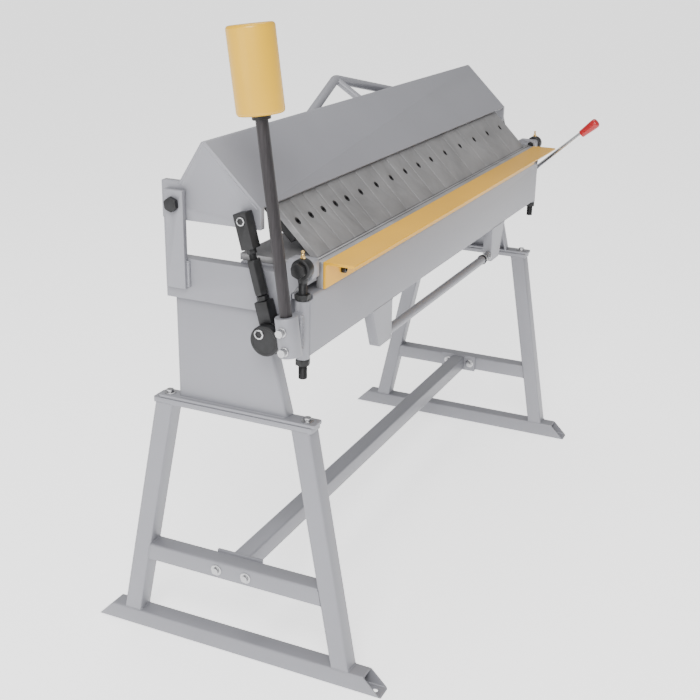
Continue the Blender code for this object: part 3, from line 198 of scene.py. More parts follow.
# ---------------------------------------------------------------- one finished piece
class Piece:
    """Collects solids, cuts and edge rounding, then hands the mesh to a body of the frame."""

    def __init__(self, name, body, finish, replaces=(), edge=None, segments=2):
        self.name, self.body, self.finish, self.replaces = name, body, finish, replaces
        self.edge = sizes().plate_edge if edge is None else edge
        self.segments = segments
        self.solids, self.cuts, self.trim = bmesh.new(), bmesh.new(), bmesh.new()

    def __enter__(self):
        return self

    def __exit__(self, kind, value, trace):
        if kind is None:
            self.hand_over()
        for shape in (self.solids, self.cuts, self.trim):
            shape.free()

    def slab(self, outline, start, end, axis="X", cut=False):
        """An outline drawn out along an axis, its points the other two coordinates in X, Y, Z order."""
        shape = self.cuts if cut else self.solids
        order = {"X": (2, 0, 1), "Y": (0, 2, 1), "Z": (0, 1, 2)}[axis]
        rings = []
        for along in (start, end):
            ring = []
            for u, v in outline:
                place = (u, v, along)
                ring.append(shape.verts.new([place[index] for index in order]))
            rings.append(ring)
        self.skin(shape, rings)

    def block(self, low_corner, high_corner, axis="X", radius=0.0):
        keep = {"X": (1, 2), "Y": (0, 2), "Z": (0, 1)}[axis]
        along = {"X": 0, "Y": 1, "Z": 2}[axis]
        outline = rectangle([low_corner[i] for i in keep], [high_corner[i] for i in keep])
        self.slab(rounded(outline, radius) if radius else outline, low_corner[along], high_corner[along],
                  axis)

    def skin(self, shape, rings, closed=False, caps=True):
        """Walls between rings of the same count, and a face on each end."""
        pairs = list(zip(rings, rings[1:])) + ([(rings[-1], rings[0])] if closed else [])
        count = len(rings[0])
        faces = []
        for lower, upper in pairs:
            for index in range(count):
                following = (index + 1) % count
                corners = (lower[index], lower[following], upper[following], upper[index])
                faces.append(shape.faces.new(corners))
        if caps and not closed:
            faces.append(shape.faces.new(rings[0]))
            faces.append(shape.faces.new(rings[-1]))
        return faces

    def turned(self, start, direction, profile, segments=40, closed=False, cut=False, phase=0.0):
        """A solid of revolution from (distance, radius) pairs.  A closed profile makes a ring."""
        shape = self.cuts if cut else self.solids
        turn = facing(direction)
        rings = []
        for along, radius in profile:
            ring = []
            for index in range(segments):
                angle = TWO_PI * index / segments + phase
                spot = Vector((radius * math.cos(angle), radius * math.sin(angle), along))
                ring.append(shape.verts.new(Vector(start) + turn @ spot))
            rings.append(ring)
        self.skin(shape, rings, closed)

    def rod(self, start, end, radius, chamfer=0.0006, segments=40, cut=False, phase=0.0):
        run = Vector(end) - Vector(start)
        size = run.length
        profile = [(0, radius - chamfer), (chamfer, radius), (size - chamfer, radius),
                   (size, radius - chamfer)]
        if not chamfer:
            profile = [(0, radius), (size, radius)]
        self.turned(start, run, profile, segments, cut=cut, phase=phase)

    def bore(self, start, end, radius, segments=40):
        self.rod(start, end, radius, 0.0, segments, cut=True)

    def hexagon(self, start, direction, height, flats, cut=False, phase=0.0):
        """A hexagonal nut or head, its corners chamfered by a cone."""
        corner = flats / math.sqrt(3)
        if cut:
            self.turned(start, direction, [(0, corner), (height, corner)], 6, cut=True, phase=phase)
            return
        turn = facing(direction)
        around = 36
        rings = []
        for along, limit in ((0, 0.94), (0.09, 1.0), (0.91, 1.0), (1.0, 0.94)):
            ring = []
            for index in range(around):
                angle = TWO_PI * index / around
                sector = (angle + math.pi / 6) % (math.pi / 3) - math.pi / 6
                reach = flats / 2 / math.cos(sector)
                reach = min(reach, corner * limit)
                spot = Vector((reach * math.cos(angle + phase), reach * math.sin(angle + phase),
                               along * height))
                ring.append(self.solids.verts.new(Vector(start) + turn @ spot))
            rings.append(ring)
        self.skin(self.solids, rings)

    def washer(self, start, direction, thickness, radius, hole):
        self.turned(start, direction, [(0, hole), (0, radius - 0.0004), (0.0004, radius),
                                       (thickness - 0.0003, radius), (thickness, radius - 0.0004),
                                       (thickness, hole)], 36, closed=True)

    def thread(self, start, direction, size, radius, pitch, segments=24):
        """A screw thread with its real helix, ending in a chamfer."""
        depth = 0.45 * pitch
        turn = facing(direction)
        steps = max(8, int(size / pitch * 6))
        rings = []
        for step in range(steps + 1):
            along = size * step / steps
            ring = []
            for index in range(segments):
                turns = along / pitch - index / segments
                tooth = abs((turns % 1.0) - 0.5) * 2
                reach = radius - depth * (1 - tooth)
                reach = min(reach, radius - depth + (size - along) + 0.0003)
                angle = TWO_PI * index / segments
                spot = Vector((reach * math.cos(angle), reach * math.sin(angle), along))
                ring.append(self.trim.verts.new(Vector(start) + turn @ spot))
            rings.append(ring)
        self.skin(self.trim, rings)

    def square_tube(self, start, end, size, cut_start=None, cut_end=None, level=OUTWARD):
        """Hollow square tube with rounded corners, its ends cut to the planes with these normals."""
        start, end = Vector(start), Vector(end)
        along = (end - start).normalized()
        side = (level - along * level.dot(along)).normalized()
        upright = along.cross(side)
        corner, wall = sizes().tube_corner, sizes().tube_wall
        loops = []
        for half, bend in ((size / 2, corner), (size / 2 - wall, corner - 0.6 * wall)):
            loops.append(rounded(rectangle((-half, -half), (half, half)), bend, 4))
        rings = {}
        for label, place, normal in (("start", start, cut_start), ("end", end, cut_end)):
            normal = Vector(normal) if normal else along
            for depth, loop in enumerate(loops):
                ring = []
                for u, v in loop:
                    spot = place + side * u + upright * v
                    shift = (place - spot).dot(normal) / along.dot(normal)
                    ring.append(self.solids.verts.new(spot + along * shift))
                rings[label, depth] = ring
        self.skin(self.solids, [rings["start", 0], rings["end", 0], rings["end", 1], rings["start", 1]],
                  closed=True)

    def sweep(self, points, radius, segments=20, start_plane=None, end_plane=None, wave=None, shape=None):
        """A round bar along a path.  A plane is (a point on it, its normal) and cuts that end."""
        shape = shape or self.solids
        points = [Vector(point) for point in points]
        rings, side = [], None
        travelled = 0.0
        for index, point in enumerate(points):
            before, after = points[max(index - 1, 0)], points[min(index + 1, len(points) - 1)]
            along = (after - before).normalized()
            if side is None:
                helper = UP if abs(along.z) < 0.8 else OUTWARD
                side = helper.cross(along).normalized()
            side = (side - along * side.dot(along)).normalized()
            other = along.cross(side)
            travelled += (point - before).length if index else 0.0
            reach = radius * (1 + (wave(travelled) if wave else 0.0))
            plane = start_plane if index == 0 else end_plane if index == len(points) - 1 else None
            ring = []
            for step in range(segments):
                angle = TWO_PI * step / segments
                spot = point + side * reach * math.cos(angle) + other * reach * math.sin(angle)
                if plane:
                    spot += along * ((Vector(plane[0]) - spot).dot(plane[1]) / along.dot(plane[1]))
                ring.append(shape.verts.new(spot))
            rings.append(ring)
        self.skin(shape, rings)

    def bead(self, corners, radius=None, closed=False):
        """A rippled weld along straight runs between corners."""
        radius = radius or sizes().weld_radius
        ripple = sizes().weld_ripple
        corners = [Vector(corner) for corner in corners]
        if closed:
            corners.append(corners[0])
        for first, second in zip(corners, corners[1:]):
            run = second - first
            steps = max(4, int(run.length / ripple * 3))
            path = [first + run * step / steps for step in range(steps + 1)]
            self.sweep(path, radius, 10, wave=lambda s: 0.10 * math.sin(TWO_PI * s / ripple)
                       + 0.05 * math.sin(0.37 * TWO_PI * s / ripple), shape=self.trim)

    def hand_over(self):
        made = self.make(self.name, self.solids)
        if self.cuts.verts:
            cutter = self.make(self.name + "_cutter", self.cuts)
            step = made.modifiers.new("Cut", "BOOLEAN")
            step.operation, step.solver, step.object = "DIFFERENCE", "EXACT", cutter
            step.use_self = True
        if self.edge:
            bevel = made.modifiers.new("Edges", "BEVEL")
            bevel.width, bevel.segments = self.edge, self.segments
            bevel.limit_method, bevel.angle_limit = "ANGLE", math.radians(40)
            weighted = made.modifiers.new("Normals", "WEIGHTED_NORMAL")
            weighted.keep_sharp = True
        bpy.context.view_layer.update()
        solid = made.evaluated_get(bpy.context.evaluated_depsgraph_get())
        mesh = bpy.data.meshes.new_from_object(solid)
        made.modifiers.clear()
        spare = made.data
        made.data = mesh
        bpy.data.meshes.remove(spare)
        mesh.name = self.name
        if self.cuts.verts:
            bpy.data.objects.remove(cutter, do_unlink=True)
        self.dress(made, not self.edge)
        if self.replaces:
            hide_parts(*self.replaces)
        if self.trim.verts:
            self.dress(self.make(self.name + "_trim", self.trim), True)

    def dress(self, made, sharp):
        """Shading, finish and body of a finished mesh."""
        mesh = made.data
        if not mesh.polygons:
            raise RuntimeError("%s came out empty" % made.name)
        mesh.shade_smooth()
        if sharp:
            mesh.set_sharp_from_angle(angle=math.radians(40))
        mesh.materials.clear()
        mesh.materials.append(finish(self.finish))
        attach(made, self.body)

    def make(self, name, shape):
        bmesh.ops.recalc_face_normals(shape, faces=shape.faces)
        mesh = bpy.data.meshes.new(name)
        shape.to_mesh(mesh)
        mesh.transform(Matrix.Translation(MIDDLE))
        made = bpy.data.objects.new(name, mesh)
        bpy.context.scene.collection.objects.link(made)
        return made


# ---------------------------------------------------------------- finishes
class Signal:
    """One shader socket.  Arithmetic on it adds Math nodes."""

    def __init__(self, recipe, socket):
        self.recipe, self.socket = recipe, socket

    def math(self, operation, *values):
        return self.recipe.add("ShaderNodeMath", {"operation": operation}, dict(enumerate(values)))

    def __add__(self, other):
        return self.math("ADD", self, other)

    def __sub__(self, other):
        return self.math("SUBTRACT", self, other)

    def __mul__(self, other):
        return self.math("MULTIPLY", self, other)

    def __rsub__(self, other):
        return self.math("SUBTRACT", other, self)

    __radd__ = __add__
    __rmul__ = __mul__

    def between(self, start, end):
        """0 below start and 1 above end, with a smooth step."""
        return self.recipe.add("ShaderNodeMapRange", {"interpolation_type": "SMOOTHSTEP"},
                               {"Value": self, "From Min": start, "From Max": end})


class Recipe:
    """Builds one material around a Principled shader."""

    def __init__(self, name):
        self.material = bpy.data.materials.new(name)
        self.material.use_nodes = True
        self.tree = self.material.node_tree
        self.tree.nodes.clear()
        self.places = self.add("ShaderNodeTexCoord", output="Object")

    def add(self, kind, settings=None, inputs=None, output=0):
        node = self.tree.nodes.new(kind)
        for name, value in (settings or {}).items():
            if name == "stops":
                for stop, (position, shade) in zip((node.color_ramp.elements[0],
                                                    node.color_ramp.elements[-1]), value):
                    stop.position, stop.color = position, (*shade, 1.0)
            else:
                setattr(node, name, value)
        for name, value in (inputs or {}).items():
            if isinstance(value, Signal):
                self.tree.links.new(value.socket, node.inputs[name])
            else:
                node.inputs[name].default_value = value
        return Signal(self, node.outputs[output])

    def noise(self, scale, detail=2.0, roughness=0.5, stretch=None, distortion=0.0):
        places = self.stretched(stretch) if stretch else self.places
        return self.add("ShaderNodeTexNoise", {}, {"Vector": places, "Scale": scale, "Detail": detail,
                                                   "Roughness": roughness, "Distortion": distortion}, "Fac")

    def cells(self, scale):
        return self.add("ShaderNodeTexVoronoi", {}, {"Vector": self.places, "Scale": scale}, "Color")

    def stretched(self, factors):
        return self.add("ShaderNodeVectorMath", {"operation": "MULTIPLY"}, {0: self.places, 1: factors})

    def blend(self, first, second, factor):
        """Colour mix of two plain colours or signals."""
        def rgba(value):
            return value if isinstance(value, Signal) else (*value, 1.0)
        return self.add("ShaderNodeMix", {"data_type": "RGBA"},
                        {"Factor": factor, 6: rgba(first), 7: rgba(second)}, 2)

    def bump(self, height, strength, distance, under=None):
        inputs = {"Height": height, "Strength": strength, "Distance": distance}
        if under:
            inputs["Normal"] = under
        return self.add("ShaderNodeBump", {}, inputs)

    def shade(self, **inputs):
        """The Principled shader.  An underscore in a name stands for a space."""
        named = {}
        for name, value in inputs.items():
            label = name.replace("_", " ")
            if isinstance(value, tuple) and len(value) == 3:
                value = (*value, 1.0)
            named[label] = value
        shader = self.add("ShaderNodeBsdfPrincipled", {}, named, "BSDF")
        self.add_output(shader)
        return self.material

    def add_output(self, shader):
        output = self.tree.nodes.new("ShaderNodeOutputMaterial")
        self.tree.links.new(shader.socket, output.inputs["Surface"])


def tinted(shade, factor):
    return tuple(min(1.0, channel * factor) for channel in shade)


def silver_paint():
    """Satin silver paint: fine flake, faint cloudiness and a slight orange peel."""
    recipe = Recipe("silver_paint")
    shade = tuple(colours().paint)
    flake = recipe.noise(2600.0, 1.0)
    clouds = recipe.noise(5.0, 3.0)
    mottle = flake.between(0.35, 0.65) * 0.5 + clouds.between(0.3, 0.7) * 0.5
    peel = recipe.noise(420.0, 2.0)
    grime = recipe.noise(34.0, 5.0, 0.62).between(0.66, 0.80)
    base = recipe.blend(tinted(shade, 0.95), tinted(shade, 1.05), mottle)
    base = recipe.blend(base, tinted(shade, 0.86), grime * 0.35)
    return recipe.shade(Base_Color=base, Metallic=0.18,
                        Roughness=0.40 + 0.07 * clouds + 0.05 * flake + 0.05 * grime,
                        Coat_Weight=0.12, Coat_Roughness=0.25, Normal=recipe.bump(peel, 0.12, 0.0003))


def ground_steel():
    """Ground steel with lengthwise grinding marks, oil stains and a few fine scratches."""
    recipe = Recipe("ground_steel")
    shade = tuple(colours().steel)
    grind = recipe.noise(60.0, 3.0, 0.6, (0.35, 34.0, 34.0))
    stains = recipe.noise(9.0, 6.0, 0.62, distortion=0.6)
    smears = recipe.noise(14.0, 4.0, 0.6, (0.6, 2.2, 2.2))
    scratch = recipe.noise(90.0, 2.0, 0.5, (1.0, 0.10, 0.10)).between(0.70, 0.74)
    base = recipe.blend(tinted(shade, 0.80), tinted(shade, 1.14), stains.between(0.30, 0.72))
    base = recipe.blend(base, tinted(shade, 1.22), smears.between(0.55, 0.80) * 0.45)
    base = recipe.blend(base, tinted(shade, 1.45), scratch * 0.35)
    return recipe.shade(Base_Color=base, Metallic=0.70, Roughness=0.36 + 0.16 * stains + 0.08 * grind,
                        Normal=recipe.bump(grind, 0.08, 0.00012))


def black_oxide():
    """Blackened steel: deep, slightly uneven, with a dusty bloom."""
    recipe = Recipe("black_oxide")
    shade = tuple(colours().oxide)
    cloud = recipe.noise(46.0, 4.0, 0.6)
    grain = recipe.noise(900.0, 2.0)
    base = recipe.blend(shade, tinted(shade, 3.0), cloud.between(0.35, 0.75))
    return recipe.shade(Base_Color=base, Metallic=0.20, Roughness=0.36 + 0.20 * cloud,
                        Normal=recipe.bump(grain, 0.10, 0.0001))


def rod_steel():
    """Dark drawn bar, streaked along its length."""
    recipe = Recipe("rod_steel")
    shade = tuple(colours().rod)
    streaks = recipe.noise(30.0, 4.0, 0.6, (14.0, 14.0, 0.5))
    rings = recipe.noise(140.0, 2.0, 0.5, (0.4, 0.4, 7.0))
    base = recipe.blend(tinted(shade, 0.85), tinted(shade, 1.25), streaks.between(0.30, 0.70))
    return recipe.shade(Base_Color=base, Metallic=0.72, Roughness=0.34 + 0.18 * streaks,
                        Normal=recipe.bump(rings * 0.5 + streaks, 0.05, 0.0001))


def enamel(name, shade, roughness, coat):
    """Bright glossy enamel with a soft colour drift and a few pale rubs."""
    recipe = Recipe(name)
    drift = recipe.noise(4.0, 2.0)
    peel = recipe.noise(300.0, 2.0)
    rubs = recipe.noise(26.0, 5.0, 0.65, (0.5, 2.0, 2.0)).between(0.64, 0.78)
    base = recipe.blend(tinted(shade, 0.94), tinted(shade, 1.06), drift.between(0.3, 0.7))
    base = recipe.blend(base, tuple(channel * 0.8 + 0.18 for channel in shade), rubs * 0.22)
    return recipe.shade(Base_Color=base, Roughness=roughness + 0.08 * drift + 0.10 * rubs, Coat_Weight=coat,
                        Coat_Roughness=0.12, Normal=recipe.bump(peel, 0.10, 0.0003))


def weight_enamel():
    return enamel("weight_enamel", tuple(colours().weight), 0.34, 0.10)


def angle_enamel():
    return enamel("angle_enamel", tuple(colours().angle), 0.42, 0.06)


def moulded_red():
    """Moulded plastic with a faint flow pattern."""
    recipe = Recipe("moulded_red")
    shade = tuple(colours().grip)
    flow = recipe.noise(60.0, 3.0, 0.5, (1.0, 0.3, 0.3))
    base = recipe.blend(tinted(shade, 0.88), tinted(shade, 1.15), flow)
    return recipe.shade(Base_Color=base, Roughness=0.20 + 0.12 * flow, Coat_Weight=0.25, Coat_Roughness=0.1,
                        Normal=recipe.bump(recipe.noise(500.0), 0.05, 0.0002))


def bright_metal(name, shade, roughness, scale, depth):
    """Plated or polished metal with spangle and fine haze."""
    recipe = Recipe(name)
    spangle = recipe.cells(scale)
    haze = recipe.noise(scale * 0.5, 4.0)
    base = recipe.blend(tinted(shade, 0.86), tinted(shade, 1.08), haze)
    return recipe.shade(Base_Color=base, Metallic=1.0, Roughness=roughness + 0.16 * haze,
                        Normal=recipe.bump(spangle, depth, 0.0001))


def zinc_plate():
    return bright_metal("zinc_plate", tuple(colours().zinc), 0.20, 380.0, 0.08)


def chrome_plate():
    return bright_metal("chrome_plate", (0.82, 0.82, 0.83), 0.06, 90.0, 0.01)


def nipple_brass():
    return bright_metal("nipple_brass", tuple(colours().brass), 0.20, 500.0, 0.05)


def bush_bronze():
    return bright_metal("bush_bronze", tuple(colours().bronze), 0.28, 300.0, 0.06)


RECIPES = {"paint": silver_paint, "steel": ground_steel, "oxide": black_oxide, "rod": rod_steel,
           "weight": weight_enamel, "angle": angle_enamel, "grip": moulded_red, "zinc": zinc_plate,
           "chrome": chrome_plate, "brass": nipple_brass, "bronze": bush_bronze}
made_finishes = {}


def finish(name):
    if name not in made_finishes:
        made_finishes[name] = RECIPES[name]()
    return made_finishes[name]


# ---------------------------------------------------------------- shared hardware
def hex_bolt(part, seat, outward, flats, head, radius, washer=0.0):
    """Head on its seat, with a flat washer if asked for."""
    outward = Vector(outward)
    seat = Vector(seat)
    if washer:
        part.washer(seat, outward, washer, flats * 0.88, radius)
    base = seat + outward * washer
    part.turned(base, outward, [(0, flats * 0.47), (head * 0.1, flats * 0.47)], 36)
    part.hexagon(base + outward * head * 0.08, outward, head * 0.92, flats, phase=0.3)


def hex_nut(part, seat, outward, flats, height, radius, washer=0.0, stick_out=0.004):
    outward = Vector(outward)
    seat = Vector(seat)
    if washer:
        part.washer(seat, outward, washer, flats * 0.88, radius)
    base = seat + outward * washer
    part.hexagon(base, outward, height, flats, phase=0.2)
    part.thread(base + outward * (height - 0.0005), outward, stick_out, radius, radius / 4, 20)


# ---------------------------------------------------------------- stands
LEG_FRONT = (-0.265, -0.1735)     # outer line of the front leg, at the floor and under the top plate
LEG_REAR = (0.266, 0.157)
LEG_TOP = 0.522
CROSS_TOP = 0.205
ANCHOR_RADIUS = 0.006


def leg_axis(line, tube):
    """Bottom and top of a leg's centre line, and its direction, as Y-Z points."""
    floor_y, top_y = line
    bottom, top = Vector((0, floor_y, 0)), Vector((0, top_y, LEG_TOP))
    along = (top - bottom).normalized()
    inward = Vector((0, -math.copysign(1, floor_y), 0))
    inward = (inward - along * inward.dot(along)).normalized()
    return bottom + inward * tube / 2, along, inward


def point_at_height(place, along, height):
    return place + along * (height - place.z) / along.z


class BRAKE_OT_stands(bpy.types.Operator):
    """Welded square-tube end frames, with hollow mitred feet and anchor holes"""
    bl_idname = "brake.stands"
    bl_label = "Stands"

    def execute(self, context):
        for label, side in SIDES:
            with Piece(label + "_stand", "frame", "paint", [label + "_stand"], edge=0.0007) as part:
                self.build(part, low(label + "_stand"), high(label + "_stand"))
        return {"FINISHED"}

    def build(self, part, lowest, highest):
        tube = highest.x - lowest.x
        middle = Vector(((lowest.x + highest.x) / 2, 0, 0))
        reach = (highest.y - lowest.y) / 2
        mitre = Vector((0, 1, 1)).normalized()
        centre_line = reach - tube / 2
        part.square_tube(middle + Vector((0, -centre_line, tube / 2)),
                         middle + Vector((0, centre_line, tube / 2)),
                         tube, cut_start=(0, -mitre.y, mitre.z), cut_end=mitre)
        faces = []
        for line in (LEG_FRONT, LEG_REAR):
            place, along, inward = leg_axis(line, tube)
            bottom = middle + point_at_height(place, along, tube)
            top = middle + point_at_height(place, along, LEG_TOP)
            part.square_tube(bottom, top, tube, cut_start=UP, cut_end=UP)
            faces.append((place + inward * tube / 2, along, inward))
            width = Vector((0, tube / 2 / along.z, 0))
            for end, height in ((bottom, 0.0004), (top, -0.0004)):
                lift = Vector((0, 0, height))
                half = Vector((tube / 2 - sizes().tube_corner, 0, 0))
                for edge in (-1, 1):
                    part.bead([end + lift + width * edge - half, end + lift + width * edge + half])
                    run = width * (1 - 2 * sizes().tube_corner / tube)
                    cheek = Vector((edge * (tube / 2 - 0.0008), 0, 0))
                    part.bead([end + lift + cheek - run, end + lift + cheek + run],
                              sizes().weld_radius * 0.7)
        cross_z = CROSS_TOP - tube / 2
        ends = [middle + point_at_height(place, along, cross_z) for place, along, inward in faces]
        part.square_tube(ends[0], ends[1], tube, cut_start=faces[0][2], cut_end=faces[1][2])
        for end, (place, along, inward) in zip(ends, faces):
            rise = along * (tube / 2 / along.z)
            half = Vector((tube / 2 - sizes().tube_corner, 0, 0))
            for edge in (-1, 1):
                part.bead([end + rise * edge - half, end + rise * edge + half])
                cheek = Vector((edge * (tube / 2 - 0.0008), 0, 0))
                part.bead([end + cheek - rise * 0.8, end + cheek + rise * 0.8], sizes().weld_radius * 0.7)
        part.slab(rounded(rectangle((lowest.x, LEG_FRONT[1] - 0.004), (highest.x, LEG_REAR[1] + 0.004)),
                          0.004),
                  LEG_TOP, highest.z, "Z")
        for end in (-1, 1):
            spot = middle + Vector((0, end * (reach - tube / 2), 0))
            part.bore(spot - UP * tube / 2, spot + UP * tube / 2, ANCHOR_RADIUS)


STRETCHER_BOLTS = (0.031, -0.035)


class BRAKE_OT_stretcher(bpy.types.Operator):
    """Cross tube between the stands, its welded end plates and the bolts through them"""
    bl_idname = "brake.stretcher"
    bl_label = "Stretcher"

    def execute(self, context):
        lowest, highest = low("stretcher"), high("stretcher")
        tube = high("right_stand").x - low("right_stand").x
        plate = 0.005
        middle_z = (lowest.z + highest.z) / 2
        with Piece("stretcher", "frame", "paint", ["stretcher"], edge=0.0007) as part:
            part.square_tube((lowest.x + plate, 0, middle_z), (highest.x - plate, 0, middle_z), tube,
                             level=Vector((0, 1, 0)))
            for side in (-1, 1):
                outer = side * highest.x
                inner = side * (highest.x - plate)
                outline = rectangle((lowest.y, lowest.z), (highest.y, highest.z))
                part.slab(rounded(outline, 0.002), min(outer, inner), max(outer, inner))
                half = tube / 2
                corners = [(inner, -half, middle_z - half), (inner, half, middle_z - half),
                           (inner, half, middle_z + half), (inner, -half, middle_z + half)]
                part.bead(corners, closed=True)
        with Piece("stretcher_bolts", "frame", "zinc", edge=0) as part:
            for side in (-1, 1):
                for y in STRETCHER_BOLTS:
                    outer = side * (high("right_stand").x)
                    hex_bolt(part, (outer, y, middle_z), (side, 0, 0), sizes().frame_bolt, 0.0055, 0.004,
                             0.0016)
                    inner = side * (highest.x - plate)
                    hex_nut(part, (inner, y, middle_z), (-side, 0, 0), sizes().frame_bolt, 0.0065, 0.004,
                            0.0016)
        return {"FINISHED"}


# ---------------------------------------------------------------- side frames
COLUMN_WALL = 0.005
BASE_FLANGE = 0.006
COLUMN_BOLTS = (0.134, -0.160)


class BRAKE_OT_columns(bpy.types.Operator):
    """Folded channels that carry the head, their base flanges and bolts"""
    bl_idname = "brake.columns"
    bl_label = "Columns"
    foot_front, knee_front, knee_height = -0.122, -0.094, 0.117
    ear_depth = 0.050

    def execute(self, context):
        for label, side in SIDES:
            with Piece(label + "_column", "frame", "paint", [label + "_column"], edge=0.0008) as part:
                self.build(part, side)
        with Piece("column_bolts", "frame", "zinc", edge=0) as part:
            seat = STAND_TOP + 0.0003 + BASE_FLANGE
            for label, side in SIDES:
                x = centre(label + "_stand").x
                for y in COLUMN_BOLTS:
                    hex_bolt(part, (x, y, seat), UP, sizes().frame_bolt, 0.0055, 0.004, 0.0016)
        return {"FINISHED"}

    def section(self, front, rear, outer, inner, side):
        """Channel seen from above: one closed loop round the sheet."""
        bend, wall = sizes().sheet_bend, COLUMN_WALL
        outline = [(inner, front), (outer, front), (outer, rear), (inner, rear), (inner, rear - wall),
                   (outer - wall, rear - wall), (outer - wall, front + wall), (inner, front + wall)]
        loop = rounded(outline, [0, bend, bend, 0, 0, bend - 0.6 * wall, bend - 0.6 * wall, 0], 4)
        return [(side * point.x, point.y) for point in loop]

    def build(self, part, side):
        outer = CHEEK_OUTER - 0.012
        inner = abs(low("right_column").x)
        top = high("right_column").z
        foot = STAND_TOP + 0.0003 + BASE_FLANGE
        knee = foot + self.knee_height
        lean = (self.knee_front - self.foot_front) / self.knee_height
        rear = 0.110
        rings = []
        for z in (foot, knee, top):
            front = self.foot_front + lean * (z - foot)
            loop = self.section(front, rear, outer, inner, side)
            rings.append([part.solids.verts.new((x, y, z)) for x, y in loop])
        part.skin(part.solids, rings)
        neck = top - self.ear_depth
        neck_y = self.foot_front + lean * (neck - foot) + 0.010
        ear_front = low("right_column").y if low("right_column").y > -0.15 else -0.128
        ear = [(neck_y, neck), (neck_y + 0.02, top - 0.0005), (ear_front, top - 0.0005),
               (ear_front, neck + 0.022)]
        ends = sorted((side * (outer - 0.0002), side * (outer - COLUMN_WALL + 0.0002)))
        part.slab(rounded(ear, [0, 0, 0.004, 0.010]), *ends)
        flange_low, flange_high = low("right_column"), high("right_column")
        half_x = (CHEEK_OUTER - 0.0025, CHEEK_OUTER - 0.0005 - 0.038 + 0.002)
        corners = rectangle((min(half_x), flange_low.y), (max(half_x), flange_high.y))
        loop = [(side * point.x, point.y) for point in rounded(corners, 0.005, 3)]
        part.slab(loop, foot - BASE_FLANGE, foot + 0.0001, "Z")
        part.bead([(side * (outer + 0.0006), self.foot_front + 0.004, foot),
                   (side * (outer + 0.0006), rear - 0.004, foot)],
                  0.0016)


UPRIGHT_WELD = 0.0042
PIVOT_RADIUS, PIVOT_BORE, PIVOT_HEAD = 0.008, 0.0081, 0.010


class BRAKE_OT_cheeks(bpy.types.Operator):
    """Heavy bars on the columns with the apron's pivot bosses, and the welded uprights behind"""
    bl_idname = "brake.cheeks"
    bl_label = "Cheeks and uprights"

    def execute(self, context):
        for label, side in SIDES:
            self.cheek(label, side)
            self.upright(label, side)
        return {"FINISHED"}

    def cheek(self, label, side):
        lowest, highest = low(label + "_cheek"), high(label + "_cheek")
        bar_top = BED_TOP - 0.017
        front = -0.137
        outline = [(highest.y, lowest.z), (highest.y, bar_top), (front + 0.022, bar_top),
                   (front + 0.003, highest.z),
                   (lowest.y, highest.z), (lowest.y, BED_TOP - 0.020),
                   (APRON_AXIS.y + 0.014, BED_TOP - 0.036),
                   (front, BED_TOP - 0.051), (front, lowest.z)]
        radii = [0.001, 0.001, 0.004, 0.004, 0.007, 0.006, 0.010, 0.010, 0.001]
        with Piece(label + "_cheek", "frame", "paint", [label + "_cheek"]) as part:
            part.slab(rounded(outline, radii), lowest.x, highest.x)
            part.bore(Vector((lowest.x - 0.01, APRON_AXIS.y, APRON_AXIS.z)),
                      Vector((highest.x + 0.01, APRON_AXIS.y, APRON_AXIS.z)), PIVOT_BORE)

    def upright(self, label, side):
        lowest, highest = low(label + "_upright"), high(label + "_upright")
        front = lowest.y + 0.007
        with Piece(label + "_upright", "frame", "paint", [label + "_upright"]) as part:
            part.slab(rounded(rectangle((front, lowest.z), (highest.y, highest.z)), 0.0015), lowest.x,
                      highest.x)
            part.bore(Vector((lowest.x - 0.01, BEAM_AXIS.y, BEAM_AXIS.z)),
                      Vector((highest.x + 0.01, BEAM_AXIS.y, BEAM_AXIS.z)), PIVOT_BORE)
            seam_x = side * (CHEEK_OUTER + 0.0015)
            part.bead([(seam_x, front - 0.001, lowest.z + 0.003),
                       (seam_x, front - 0.001, BED_TOP - 0.0195)],
                      UPRIGHT_WELD)
            part.bead([(seam_x - side * 0.001, front + 0.004, lowest.z),
                       (seam_x - side * 0.001, highest.y, lowest.z)],
                      0.0022)


class BRAKE_OT_pivots(bpy.types.Operator):
    """Black hexagon pivot bolts of the beam and the apron, and the shaft bushes"""
    bl_idname = "brake.pivots"
    bl_label = "Pivot bolts and bushes"
    flats = 0.024

    def execute(self, context):
        for label, side in SIDES:
            for kind, axis in (("beam", BEAM_AXIS), ("apron", APRON_AXIS)):
                node = "%s_%s_pivot_bolt" % (label, kind)
                self.bolt(node, kind, axis, side)
            self.bush(label, side)
        return {"FINISHED"}

    def bolt(self, node, kind, axis, side):
        tip = min(abs(low(node).x), abs(high(node).x))
        end = max(abs(low(node).x), abs(high(node).x))
        outward = Vector((side, 0, 0))

        def at(x):
            return Vector((side * x, axis.y, axis.z))
        with Piece(node, "frame", "oxide", [node], edge=0.0004) as part:
            part.rod(at(tip), at(end - PIVOT_HEAD / 2), PIVOT_RADIUS, 0.0008)
            part.turned(at(end - PIVOT_HEAD), outward, [(0, 0.0113), (0.0012, 0.0113)], 40)
            part.hexagon(at(end - PIVOT_HEAD + 0.001), outward, PIVOT_HEAD - 0.001, self.flats, phase=0.15)
            if kind == "beam":
                part.hexagon(at(tip + 0.001), outward, 0.0125, self.flats)

    def bush(self, label, side):
        node = label + "_shaft_bush"
        start = min(abs(low(node).x), abs(high(node).x))
        end = max(abs(low(node).x), abs(high(node).x))
        flange = 0.0123
        profile = [(0, 0.0121), (0, 0.0150), (0.0005, 0.0155), (end - start - flange, 0.0155),
                   (end - start - flange, 0.0175), (end - start - flange + 0.0005, 0.0180),
                   (end - start - 0.0005, 0.0180), (end - start, 0.0175), (end - start, 0.0121)]
        with Piece(node, "frame", "bronze", [node], edge=0) as part:
            part.turned((side * start, SHAFT_AXIS.y, SHAFT_AXIS.z), (side, 0, 0), profile, closed=True)


